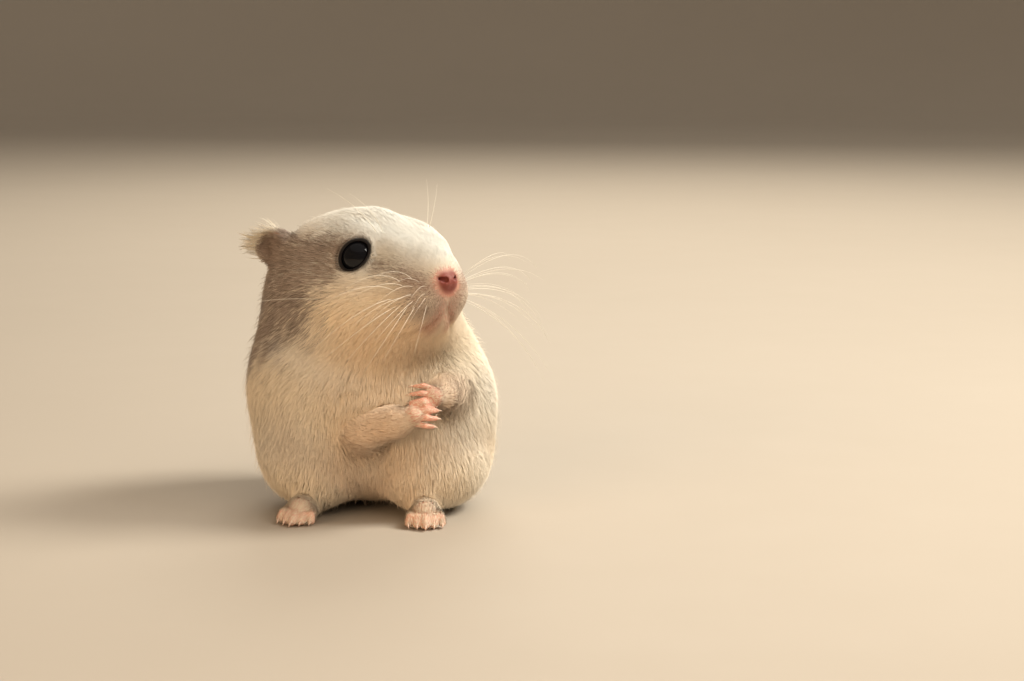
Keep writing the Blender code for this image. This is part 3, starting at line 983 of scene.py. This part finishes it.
def curve_points(points, count):
    """Points along a smooth curve through the given ones."""
    p = np.asarray(points, float)
    t = np.linspace(0, len(p) - 1, count)
    padded = np.vstack([2 * p[0] - p[1], p, 2 * p[-1] - p[-2]])
    out = []
    for x in t:
        i = min(int(x), len(p) - 2)
        f = x - i
        a, b, c, d = padded[i:i + 4]
        out.append(0.5 * (2 * b + (c - a) * f + (2 * a - 5 * b + 4 * c - d) * f * f + (3 * b - a - 3 * c + d) * f ** 3))
    return np.array(out)


claw_parts = []
for side in (-1, 1):
    for knuckle, bend, end in paw_fingers(side):
        way = unit(end - bend)
        start = end + way * 0.15
        tip = end + way * 0.80 + np.array((0.0, 0.24, -0.14))
        mid = (start + tip) / 2 + np.array((0.0, -0.10, 0.06))
        claw_parts.append(tube(curve_points([start, mid, tip], 6), np.linspace(0.19, 0.04, 6)))
    axes = frame_axes(side * 10, 0)
    heel = np.array([side * FOOT_X, -6.6, 1.9])
    c, s = math.cos(math.radians(HIP_YAW)), math.sin(math.radians(HIP_YAW))

    def world(v):
        h = np.asarray(v, float) @ axes + heel
        return np.array([h[0] * c - h[1] * s, h[0] * s + h[1] * c, h[2]]) + np.array((HIP_X, 0, 0))

    for root, mid, end in foot_toes():
        r, e = np.array(mid), np.array(end)
        way = unit(e - r)
        start = e + way * 0.35 + np.array((0, 0, 0.1))
        tip = e + np.array((1.25, 0.0, -0.45))
        middle = (start + tip) / 2 + np.array((0.0, 0.0, 0.22))
        pts = np.array([world(v) for v in curve_points([start, middle, tip], 6)])
        pts[:, 2] = np.maximum(pts[:, 2], 0.12)
        claw_parts.append(tube(pts, np.linspace(0.27, 0.04, 6)))
points, made = join(claw_parts)
fast_mesh("claws", points, made, np.tile(f32((0.70, 0.50, 0.40)), (len(points), 1)), material=claw_material(), slot="pink_skin")

# ---------------------------------------------------------------- whiskers
rng = np.random.default_rng(SEED + 1)
whisker_parts, whisker_colours = [], []
BOX_LOW = np.array(CAD_BOX[0]) / MM
BOX_HIGH = np.array(CAD_BOX[1]) / MM
ROOM = 0.03 * (BOX_HIGH - BOX_LOW) + 9.2


def inside_room(p):
    q = p + STAND_AT
    return ((q > BOX_LOW - ROOM) & (q < BOX_HIGH + ROOM)).all()


def whisker(base, way, length, droop, thick=0.05, tone=0.84):
    """A long stiff hair from base (head's axes): it leaves along way and bends over its length."""
    for _ in range(14):
        t = np.linspace(0, 1, 16)[:, None]
        q = np.array(base) + (unit(np.array(way, float)) * t + np.array(droop, float) * (t ** 2)) * length
        p = from_head(q)
        if inside_room(p[-1]) and inside_room(p[9]) and p[:, 2].min() > 0.5:
            break
        length *= 0.93
    radii = thick * (1 - 0.80 * np.linspace(0, 1, 16) ** 0.8)
    whisker_parts.append(tube(p, radii, 5))
    tone = tone + 0.06 * rng.random()
    count = len(whisker_parts[-1][0])
    whisker_colours.append(np.tile(f32((tone, tone * 0.95, tone * 0.84)), (count, 1)))


for side in (-1, 1):
    for row in range(5):      # from the top row of the pad down
        for column in range(4):  # from the nose back
            if (row, column) in ((0, 3), (4, 3)):
                continue
            back = column / 3
            up = (2 - row) / 2
            base = np.array([14.5 - 3.0 * back, side * (2.9 + 2.1 * back), -3.0 + 1.15 * up - 0.35 * back])
            base += rng.normal(size=3) * np.array((0.18, 0.10, 0.15))
            way = np.array([0.62 - 0.34 * back, side * 0.92, 0.14 + 0.56 * up]) + rng.normal(size=3) * 0.07
            length = 8.0 + 8.0 * back + 2.6 * rng.random() + 1.5 * max(up, 0)
            droop = np.array([-0.32 - 0.12 * back, 0.0, -0.40 - 0.05 * up]) + rng.normal(size=3) * 0.03
            length *= 0.86 if side < 0 else 1.35
            whisker(base, way, length, droop, 0.040 if column else 0.032)
    for k in range(2):  # over the eye
        base = np.array([9.0 - 0.9 * k, side * (4.4 + 0.3 * k), 6.0 - 0.1 * k])
        whisker(base, (0.10 - 0.25 * k, side * 0.45, 1.0), 7.5 + 1.5 * k, (-0.30, side * 0.12, -0.12), 0.036)
    whisker((2.0, side * 11.2, -2.2), (-0.55, side * 0.85, 0.22), 8.5, (-0.15, 0, -0.12), 0.034)
points, made = join(whisker_parts)
fast_mesh("whiskers", points, made, np.concatenate(whisker_colours), material=whisker_material(), slot="cream_coat")


# ---------------------------------------------------------------- coat
def lie_of_coat(p, w):
    """Which way the hair points, before it is laid on the surface."""
    q = to_head(p)
    s = np.sign(q[:, 1:2])
    from_nose = unit(q - f32((16.2, 0.0, -2.2)))
    cheek = (ramp(q[:, 2], 2.0, -5.0) * ramp(q[:, 0], 12.0, 5.0))[:, None]
    way = 0.60 * from_nose + f32((-0.70, 0, 0)) + cheek * f32((0.10, 0.0, -0.80))
    under = ramp(q[:, 2], -6.5, -9.0)[:, None]
    way = way + under * f32((-0.2, 0, -0.5))
    head = way @ f32(HEAD_AXES)
    high = ramp(p[:, 2], 12.0, 28.0)[:, None]
    backward = f32((-0.70, 0.70, 0.0))
    front = ramp((p @ f32((0.35, -0.94, 0.0))), 6.0, 13.0)[:, None]
    trunk = f32((0, 0, -1.0)) + backward * high * (0.95 - 0.75 * front)
    low = ramp(p[:, 2], 6.0, 0.5)[:, None]
    trunk = trunk + f32((0, 0.5, 0)) * low
    made = w["head"][:, None] * head + w["trunk"][:, None] * trunk
    made += w["nose"][:, None] * head
    for side, name in ((1, "left"), (-1, "right")):
        thigh = f32((side * 0.05, 0.35, -1.0))
        made += w["hind_leg_" + name][:, None] * thigh
        arm = unit(np.array(ARM[side][1]) - np.array(ARM[side][0]))
        made += w["foreleg_" + name][:, None] * f32(arm)
        tip = unit(np.array(TOES[side]) - np.array(ARM[side][1]))
        made += w["forepaw_" + name][:, None] * f32(tip)
        foot = frame_axes(side * 10 + HIP_YAW, 0)[0]
        made += w["hind_foot_" + name][:, None] * f32(foot + np.array((0, 0, -0.25)))
        ear = head_way(ear_axes(side)[0] * 1.0 + np.array((0.0, side * 0.10, 0.12)))
        made += w["ear_" + name][:, None] * f32(ear)
    made += w["tail"][:, None] * f32((0.1, 1.0, -0.35))
    # round the eyes the hair parts and passes by
    for side in (-1, 1):
        e = to_eye(p, side)
        rim = eye_rim(e)
        flat = e.copy()
        flat[:, 2] = 0
        out = unit(flat) @ f32(eye_axes(side))
        close = ramp(rim, 2.6, 0.2) * ramp(e[:, 2], -2.5, -0.5)
        toward = np.minimum((unit(made) * out).sum(-1), 0.25)
        made = unit(made) - out * ((toward - 0.25 * ramp(rim, 1.4, 0.2)) * close)[:, None]
    return made


def coat_length(p, w):
    q = to_head(p)
    face = 2.2 + 1.0 * ramp(q[:, 2], 2.0, -5.0) * ramp(q[:, 0], 9.0, 2.0)
    face = face + (0.72 - face) * ramp(q[:, 0], 5.5, 13.5)
    for side in (-1, 1):
        e = np.sqrt((to_eye(p, side) ** 2).sum(-1))
        face = np.where(e < 6.5, face + (0.70 - face) * ramp(e, 6.0, 3.2), face)
    length = w["head"] * face + w["trunk"] * (3.7 + 0.5 * ramp(p[:, 1], 0, 12))
    for side in ("left", "right"):
        length += w["hind_leg_" + side] * 3.4 + w["foreleg_" + side] * 2.0 + w["forepaw_" + side] * 0.55
        length += w["hind_foot_" + side] * 0.85 + w["ear_" + side] * 1.15
    length = length + (w["ear_left"] + w["ear_right"]) * 0.35
    return length + w["tail"] * 1.7 + w["nose"] * 0.35


def coat_density(p, w, n):
    """Tufts for each square millimetre of skin."""
    q = to_head(p)
    face = 56 + 48 * ramp(q[:, 0], 4.0, 12.0)
    for side in (-1, 1):
        e = np.sqrt((to_eye(p, side) ** 2).sum(-1))
        face = np.maximum(face, 100 * ramp(e, 6.0, 3.6))
    d = w["head"] * face + w["trunk"] * 45
    for side in ("left", "right"):
        d += w["hind_leg_" + side] * 45 + w["foreleg_" + side] * 58 + w["forepaw_" + side] * 34
        d += w["hind_foot_" + side] * 84 + w["ear_" + side] * 58
    d += w["tail"] * 40
    d *= 1 - ramp(w["nose"], 0.25, 0.5)
    d *= 1 - 0.55 * pink_share(p, w) * w["head"]
    for side in (-1, 1):
        e = to_eye(p, side)
        d *= np.where((eye_rim(e) < 0.30) & (e[:, 2] > -1.2) & ((e ** 2).sum(-1) < 16), 0.0, 1.0)
        paw = w["forepaw_left" if side > 0 else "forepaw_right"]
        beyond = (p - f32(ARM[side][2])) @ f32(unit(np.array(TOES[side]) - np.array(ARM[side][2])))
        d *= 1 - 0.80 * paw * ramp(beyond, 0.4, 2.2)
        f = to_foot(p, side)
        foot = w["hind_foot_left" if side > 0 else "hind_foot_right"]
        d *= 1 - foot * np.maximum(ramp(n[:, 2], 0.0, -0.4), 0.72 * ramp(f[:, 0], FOOT_LENGTH * 0.50, FOOT_LENGTH * 0.75))
    lip = bars(mirrored(q), MOUTH, [0] * len(MOUTH))
    d *= ramp(lip, 0.15, 0.60)
    # almost none underneath, where the animal sits on it
    d *= np.where((p[:, 2] < 0.12) & (n[:, 2] < -0.9), 0.2, 1.0)
    d *= 1 - 0.5 * ramp(n[:, 2], -0.45, -0.85) * ramp(p[:, 2], 4.0, 1.5)
    return d


rng = np.random.default_rng(SEED)
centres = f32(skin_points[faces].mean(1))
face_area = np.linalg.norm(face_normals(skin_points, faces), axis=1) / 2
face_out = unit(face_normals(skin_points, faces))
density = coat_density(centres, shares(masses_at(centres), 0.7), face_out)
# nothing grows inside the eye sockets
for side in (-1, 1):
    e = to_eye(centres, side)
    density[((e ** 2).sum(-1) < (EYE_R + 0.2) ** 2)] = 0
weight = density * face_area
total = np.concatenate([[0.0], np.cumsum(weight)])
COUNT = int(total[-1])
picks = (np.arange(COUNT) + rng.random(COUNT)) / COUNT * total[-1]
which = np.clip(np.searchsorted(total, picks, side="right") - 1, 0, len(faces) - 1)
u, v = rng.random(COUNT), rng.random(COUNT)
flip = u + v > 1
u[flip], v[flip] = 1 - u[flip], 1 - v[flip]
a, b, c = (skin_points[faces[which, k]] for k in range(3))
na, nb, nc = (skin_normals[faces[which, k]] for k in range(3))
roots = f32(a + (b - a) * u[:, None] + (c - a) * v[:, None])
root_out = f32(unit(na + (nb - na) * u[:, None] + (nc - na) * v[:, None]))
w = shares(masses_at(roots), 0.9)
out = f32(unit(0.5 * root_out + 0.5 * away(roots)))
way = f32(lie_of_coat(roots, w))
way = way - out * (way * out).sum(-1, keepdims=True)
way = f32(unit(way))
length = f32(coat_length(roots, w))
deep = np.maximum(-sample(SEEN, roots), 0.08)  # height of the coat over this root

# two layers: soft underfur that fills the coat, and the longer hairs that show
kind = rng.random(COUNT)
under = kind < 0.52 * ramp(length, 0.9, 2.0)
stray = (~under) & (kind > 0.975) & (w["head"] + w["trunk"] + w["hind_leg_left"] + w["hind_leg_right"] > 0.6)
rim_hair = ear_rim(roots, w)
fringe = (rim_hair > 0.35) & (rng.random(COUNT) < 0.42)
under &= ~fringe
stray &= ramp(to_head(roots)[:, 0], 12.0, 8.0) * w["head"] + (1 - w["head"]) > 0.5

# small locks: neighbours lean together a little
clump_count = COUNT // 5
seeds = rng.choice(np.flatnonzero(~under), clump_count, replace=False)
tree = KDTree(clump_count)
for i, s in enumerate(seeds):
    tree.insert(roots[s], i)
tree.balance()
clump = np.array([tree.find(r)[1] for r in roots.tolist()])
clump_turn = rng.normal(size=clump_count) * np.radians(1.4)
clump_tone = rng.normal(size=clump_count)
clump_tone2 = rng.random(clump_count)
clump_length = rng.normal(size=clump_count) * 0.05

sweep = lumps(roots, 9.0, 61) * np.radians(4.0)  # slow waves in the lie of the coat
turn = sweep + clump_turn[clump] + rng.normal(size=COUNT) * np.radians(np.where(stray | fringe, 16.0, 3.0))
cross = np.cross(out, way)
way = f32(way * np.cos(turn)[:, None] + cross * np.sin(turn)[:, None])
length = length * (1 + clump_length[clump] + rng.normal(size=COUNT) * 0.12)
length = np.where(stray, length * 1.15, length)
# the crown and forehead lie flatter, so that they aren't dark when seen along them from behind
crown = to_head(roots)
crown = w["head"] * ramp(crown[:, 2], 1.0, 4.0) * ramp(np.abs(crown[:, 1]), 5.0, 3.2) * ramp(crown[:, 0], 13.0, 9.0)
length = length * (1 + 0.45 * crown)
line_hair = bump(bars(mirrored(to_head(roots)), [(9.2, 5.6, 1.0), (11.8, 5.0, 0.2), (14.6, 3.4, -1.6)], [0, 0, 0]), 1.1)
speck = (rng.random(COUNT) < 0.22 * line_hair) & (w["head"] > 0.5)
length = np.where(speck, length * 1.7, length)
length = np.where(fringe, 1.9 + 2.0 * rng.random(COUNT), length)
length = np.clip(length, 0.3, None)
rise = deep * np.where(under, 0.78 + 0.17 * rng.random(COUNT), 0.92 + 0.08 * rng.random(COUNT))
rise = np.where(stray, deep * (1.08 + 0.30 * rng.random(COUNT)), rise)
rise = np.minimum(rise, length * (0.62 - 0.34 * crown))
on_ear = np.clip(w["ear_left"] + w["ear_right"], 0, 1)
rise = rise + on_ear * (0.10 + 0.35 * rng.random(COUNT))
rise = np.where(fringe, 0.2 + 1.3 * rng.random(COUNT), rise)
root_in = np.minimum(0.12, deep * 0.4)
start = roots - out * root_in[:, None]
seen_start = sample(SEEN, roots)


def along(t):
    """The points of every tuft's spine at t, from 0 at the root to 1 at the tip."""
    height = rise * (1 - (1 - t) ** 1.7)
    p = roots + way * (length * t)[:, None] + out * height[:, None]
    for _ in range(2):
        g = away(p)
        gap = sample(SEEN, p) - (seen_start + height)
        gap = np.clip(gap, -1.2, 1.2) * np.where(fringe, 0.0, 1.0)
        p = p - g * gap[:, None]
    return p


MID, FAR = 0.38, 0.74
spine1, spine2, spine3 = along(MID), along(FAR), along(1.0)
# neighbours' tips draw together
pull = 0.07 * ramp(length, 0.8, 2.2) * np.where(under | stray, 0.0, 1.0)
lead = seeds[clump]
near_tip = np.linalg.norm(spine3 - spine3[lead], axis=1) < 2.0
pull = np.where(near_tip, pull, 0.0)[:, None]
spine3 = spine3 + (spine3[lead] - spine3) * pull
spine2 = spine2 + (spine2[lead] - spine2) * pull * 0.45
for s in (spine1, spine2, spine3):
    s[:, 2] = np.maximum(s[:, 2], FLOOR_AT + 0.05)
start[:, 2] = np.maximum(start[:, 2], FLOOR_AT + 0.02)

# colours: each hair of the marked coat is pale, grey-brown or dark, more often dark where it is grey
grey = grey_share(roots, w)
pale = cream_at(roots, w)
streak = np.clip(0.65 * streaks(roots, way, 0.9, 71) + 0.45 * streaks(roots, way, 2.6, 72), -1.2, 1.2)
chance = 0.44 * rng.random(COUNT) + 0.22 * clump_tone2[clump] + 0.34 * (0.5 + 0.5 * streak)
spread = 0.34 * (1 - np.abs(2 * grey - 1) * 0.55)
mix = ramp(grey - chance, -spread, spread) * ramp(grey, 0.0, 0.12)
tone = clump_tone[clump] * (0.012 + 0.04 * grey) + rng.normal(size=COUNT) * (0.030 + 0.08 * grey) - streak * 0.05
chance2 = 0.5 * rng.random(COUNT) + 0.5 * clump_tone2[clump][::-1]
stripe = dorsal_share(roots) * w["trunk"]
dark = ramp(chance2, 0.50 + 0.60 * stripe, 0.22 + 0.50 * stripe)
ticked = GREY_BROWN + (DARK - GREY_BROWN) * (dark * 0.75)[:, None]
slate = ramp(lumps(roots, 7.0, 41) - 0.2 * (roots[:, 2] - 24) / 6, 0.0, 1.1)[:, None] * f32(w["trunk"])[:, None]
ticked = ticked + (SLATE - ticked) * slate * 0.5
hair = pale + (ticked - pale) * mix[:, None]
rim_hair_and_back_light = rim_hair[:, None]
ear = (w["ear_left"] + w["ear_right"])[:, None]
hair = hair + (f32((0.215, 0.158, 0.130)) - hair) * ear * 0.8
# pale hairs on the ear's back edge and its fringe: pale hair, made paler still as painted back light
hair = hair + (f32((0.93, 0.85, 0.71)) - hair) * np.maximum(rim_hair_and_back_light * 0.85, fringe[:, None] * 0.98) * (0.7 + 0.3 * rng.random(COUNT))[:, None]
# thin dark hairs from the eye's front corner to the side of the nose, and the whisker pad's speckles
pad = bump(bars(mirrored(to_head(roots)), [(14.6, 2.6, -3.4), (12.4, 4.4, -4.4)], [0, 0]), 1.5)
speck = speck | ((rng.random(COUNT) < 0.25 * pad) & (w["head"] > 0.5))
hair = hair + (f32((0.115, 0.075, 0.062)) - hair) * (speck * 0.80)[:, None]
lid = np.zeros(COUNT, np.float32)
for side in (-1, 1):
    e = to_eye(roots, side)
    lid = np.maximum(lid, ramp(eye_rim(e), 0.64, 0.12) * ramp(e[:, 2], -2.0, -0.6) * (((e ** 2).sum(-1) < 25)))
lid *= 0.55 + 0.45 * (rng.random(COUNT) < 0.8)
hair = hair + (f32((0.030, 0.022, 0.020)) - hair) * (lid * 0.96)[:, None]
hair = hair * (1 + tone)[:, None]
pink_hair = (w["foreleg_left"] + w["foreleg_right"])[:, None]
hair = hair + (f32((0.84, 0.60, 0.44)) - hair) * pink_hair * 0.60
paw_hair = (w["forepaw_left"] + w["forepaw_right"])[:, None]
hair = hair + (f32((0.90, 0.72, 0.58)) - hair) * paw_hair * 0.85
foot_hair = (w["hind_foot_left"] + w["hind_foot_right"])[:, None]
hair = hair + (f32((0.90, 0.76, 0.61)) - hair) * foot_hair * 0.85
# rosy hairs round the nose and down to the mouth, paler rose over the whisker pad
muzzle = mirrored(to_head(roots))
rosy = bump(bars(muzzle, [(16.2, 1.5, -2.6), (16.0, 0.9, -4.4), (15.0, 1.1, -6.4), (13.7, 1.9, -7.8)], [0] * 4), 1.35) * w["head"]
hair = hair + (f32((0.50, 0.215, 0.150)) - hair) * (0.78 * rosy)[:, None]
rose = bump(bars(muzzle, [(15.7, 2.2, -2.6), (13.6, 4.2, -2.0), (14.2, 3.4, -4.4)], [0] * 3), 2.0) * w["head"]
hair = hair + (f32((0.265, 0.150, 0.115)) - hair) * (0.74 * rose)[:, None]
# each tuft is darker at the root, partly the hair's own darker base and partly painted shade deep in the coat; pale
# hairs get paler tips as painted light
root_colour_and_shade = hair * (0.86 + 0.08 * (1 - mix))[:, None]
mid_colour = hair
tip_colour_and_light = hair + (f32((0.95, 0.92, 0.85)) - hair) * (0.25 * (1 - mix) * (1 - speck) * (1 - lid))[:, None]
root_colour_and_shade, mid_colour, tip_colour_and_light = (f32(np.clip(c, 0.01, 0.95)) for c in (root_colour_and_shade, mid_colour, tip_colour_and_light))

# widths
wide = 0.070 + 0.038 * ramp(length, 1.0, 3.2)
wide = wide * (0.85 + 0.3 * rng.random(COUNT)) * np.where(under, 1.35, 1.0) * np.where(stray | fringe, 0.55, 1.0)
long_tuft = (fringe | stray | (w["foreleg_left"] + w["foreleg_right"] > 0.5)) & (length > 1.0)


def tufts(name, chosen, material):
    """One piece of the coat: closed spindles, pointed at the root and the tip, with one or two rings."""
    parts_p, parts_f, parts_c, parts_n, parts_uv = [], [], [], [], []
    count = 0
    # unwrap of the piece's patch of skin: six faces of a box turned to its mean direction
    mean = unit(out[chosen].mean(0))
    side_axis = unit(np.cross(mean, (0.0, 0.0, 1.0)) + np.array((1e-4, 0, 0)))
    axes = np.stack([side_axis, np.cross(mean, side_axis), mean])
    local = roots[chosen] @ f32(axes.T)
    facing = out[chosen] @ f32(axes.T)
    chart = np.abs(facing).argmax(1) * 2 + (np.take_along_axis(facing, np.abs(facing).argmax(1)[:, None], 1)[:, 0] < 0)
    place = np.zeros((len(chosen), 2), np.float32)
    ids, sizes = np.unique(chart, return_counts=True)
    widths = np.maximum(sizes / sizes.sum(), 0.04)
    widths = widths / widths.sum()
    left = 0.0
    for k, width in zip(ids, widths):
        m = chart == k
        keep = [i for i in range(3) if i != k // 2]
        flat = local[m][:, keep]
        lo, hi = flat.min(0), flat.max(0)
        flat = (flat - lo) / np.maximum(hi - lo, 1e-3)
        place[m, 0] = left + 0.006 + flat[:, 0] * max(width - 0.015, 0.004)
        place[m, 1] = 0.006 + flat[:, 1] * 0.985
        left += width
    uv_of = dict(zip(chosen.tolist(), range(len(chosen))))
    for rings in (2, 1):
        ids = chosen[long_tuft[chosen]] if rings == 2 else chosen[~long_tuft[chosen]]
        if not len(ids):
            continue
        n = len(ids)
        spots = place[[uv_of[i] for i in ids.tolist()]]
        if rings == 2:
            spine = [start[ids], spine1[ids], spine2[ids], spine3[ids]]
            sizes = [wide[ids], wide[ids] * 0.74]
        else:
            middle = spine1[ids] * 0.6 + spine2[ids] * 0.4
            spine = [start[ids], middle, spine3[ids]]
            sizes = [wide[ids] * 0.95]
        phase = 1.5708 + rng.normal(size=n) * 0.10
        verts, cols, norms = [spine[0]], [root_colour_and_shade[ids]], [out[ids]]
        for r in range(rings):
            t = unit(spine[r + 2] - spine[r])
            o = out[ids] - t * (out[ids] * t).sum(-1, keepdims=True)
            o = unit(o)
            b = np.cross(o, t)
            shade = mid_colour[ids] if r == 0 else (mid_colour[ids] * 0.4 + tip_colour_and_light[ids] * 0.6)
            for k in range(3):
                angle = phase + k * 2.0944
                ray = b * np.cos(angle)[:, None] + o * (0.20 * np.sin(angle))[:, None]
                verts.append(spine[r + 1] + ray * (sizes[r] * 0.5 * 1.15)[:, None])
                cols.append(shade)
                norms.append(unit(0.30 * o + 0.70 * out[ids] + 0.20 * ray))
        verts.append(spine[-1])
        cols.append(tip_colour_and_light[ids])
        norms.append(out[ids])
        size = len(verts)
        verts = np.stack(verts, 1).reshape(-1, 3)
        cols = np.stack(cols, 1).reshape(-1, 3)
        norms = np.stack(norms, 1)
        tri, below = [], []
        for k in range(3):
            j = (k + 1) % 3
            below += [k == 1] * (4 if rings == 2 else 2)
            tri.append((0, 1 + j, 1 + k))
            if rings == 2:
                tri += [(1 + k, 1 + j, 4 + j), (1 + k, 4 + j, 4 + k), (4 + k, 4 + j, 7)]
            else:
                tri.append((1 + k, 1 + j, 4))
        tri = np.array(tri)
        # the flat underside keeps its own direction, so that it isn't shaded like the top
        norms = norms[:, tri]
        axis = unit(spine[-1] - spine[0])
        down = unit(axis * (1.1 + (axis * out[ids]).sum(-1, keepdims=True)) - out[ids])
        norms[:, below] = down[:, None, None]
        norms = norms.reshape(-1, 3)
        f = (tri[None] + (np.arange(n) * size)[:, None, None]).reshape(-1, 3)
        # each tuft's patch: round it across, root to tip up
        patch = np.zeros((size, 2), np.float32)
        patch[0] = (0.0015, 0.0)
        for r in range(rings):
            for k in range(3):
                patch[1 + 3 * r + k] = (0.0015 * k, 0.001 * (r + 1))
        patch[-1] = (0.0015, 0.003)
        uv = (spots[:, None, None, :] + patch[tri][None]).reshape(-1, 2)
        parts_p.append(verts)
        parts_c.append(cols)
        parts_n.append(norms)
        parts_f.append(f + count)
        parts_uv.append(uv)
        count += len(verts)
    return fast_mesh(name, np.concatenate(parts_p), np.concatenate(parts_f), np.concatenate(parts_c),
                     np.clip(np.concatenate(parts_uv), 0, 1), np.concatenate(parts_n), material, "cream_coat")


def halves(ids, depth):
    """Splits tufts into equal neighbouring groups."""
    if depth == 0:
        return [ids]
    p = roots[ids]
    axis = int(np.argmax(p.max(0) - p.min(0)))
    order = ids[np.argsort(p[:, axis], kind="stable")]
    middle = len(order) // 2
    return halves(order[:middle], depth - 1) + halves(order[middle:], depth - 1)


coat_finish = coat_material()
pieces = halves(np.arange(COUNT), 4)
for number, ids in enumerate(pieces):
    tufts(f"coat_{number:02d}", np.sort(ids), coat_finish)
print("tufts", COUNT, "long", int(long_tuft.sum()), "coat triangles", int(long_tuft.sum() * 12 + (~long_tuft).sum() * 6), "skin triangles", len(faces))

# ---------------------------------------------------------------- floor, light, camera
# a round floor whose edge curves up into a wall on every side
floor_mesh = bpy.data.meshes.new("floor")
FLAT, BEND, WALL, AROUND = 0.70, 0.55, 1.3, 72
profile = [(0.0, 0.0), (0.2, 0.0), (FLAT, 0.0)]
profile += [(FLAT + BEND * math.sin(a), BEND * (1 - math.cos(a))) for a in np.linspace(0.08, math.pi / 2, 18)]
profile += [(FLAT + BEND, WALL)]
verts = [(0.0, 0.0, 0.0)]
for r, z in profile[1:]:
    verts += [(r * math.cos(2 * math.pi * j / AROUND), r * math.sin(2 * math.pi * j / AROUND), z) for j in range(AROUND)]
polygons = [(0, 1 + j, 1 + (j + 1) % AROUND) for j in range(AROUND)]
for i in range(len(profile) - 2):
    for j in range(AROUND):
        k = (j + 1) % AROUND
        polygons.append((1 + i * AROUND + j, 1 + (i + 1) * AROUND + j, 1 + (i + 1) * AROUND + k, 1 + i * AROUND + k))
floor_mesh.from_pydata(verts, [], polygons)
floor_mesh.shade_smooth()
floor_mesh.materials.append(floor_material())
floor = bpy.data.objects.new("floor", floor_mesh)
bpy.context.scene.collection.objects.link(floor)


def area_light(name, place, size, power, colour, aim=(0.0, 0.0, 0.024)):
    data = bpy.data.lights.new(name, "AREA")
    data.shape = "RECTANGLE"
    data.size, data.size_y = size
    data.energy = power
    data.color = colour
    obj = bpy.data.objects.new(name, data)
    bpy.context.scene.collection.objects.link(obj)
    obj.location = place
    obj.rotation_mode = "QUATERNION"
    obj.rotation_quaternion = (Vector(aim) - Vector(place)).to_track_quat("-Z", "Y")
    return obj


area_light("key", (0.40, 0.03, 0.37), (0.20, 0.20), 3.5, (1.0, 0.93, 0.80))
area_light("eye_light", (0.33, -0.12, 0.44), (0.11, 0.11), 0.5, (1.0, 0.95, 0.86))
soft = area_light("soft", (0.20, -0.36, 0.38), (0.5, 0.5), 1.25, (1.0, 0.85, 0.66))
soft.visible_glossy = False
fill = area_light("fill", (-0.34, -0.46, 0.16), (0.40, 0.24), 1.6, (1.0, 0.68, 0.40))
fill.visible_glossy = False
area_light("back", (0.05, 0.42, 0.30), (0.3, 0.3), 1.4, (1.0, 0.91, 0.76))
world = bpy.data.worlds.new("world")
bpy.context.scene.world = world
world.use_nodes = True
world.node_tree.nodes["Background"].inputs["Color"].default_value = (1.0, 0.89, 0.76, 1)
world.node_tree.nodes["Background"].inputs["Strength"].default_value = 0.26
bpy.context.scene.view_settings.view_transform = "Standard"

camera_data = bpy.data.cameras.new("camera")
camera_data.sensor_width = 36.0
camera_data.lens = 96.983
camera_data.clip_start, camera_data.clip_end = 0.01, 20.0
camera = bpy.data.objects.new("camera", camera_data)
bpy.context.scene.collection.objects.link(camera)
camera.location = (0.020185, -0.393209, 0.085846)
camera.rotation_euler = (math.radians(81.0), 0.0, 0.0)
bpy.context.scene.camera = camera
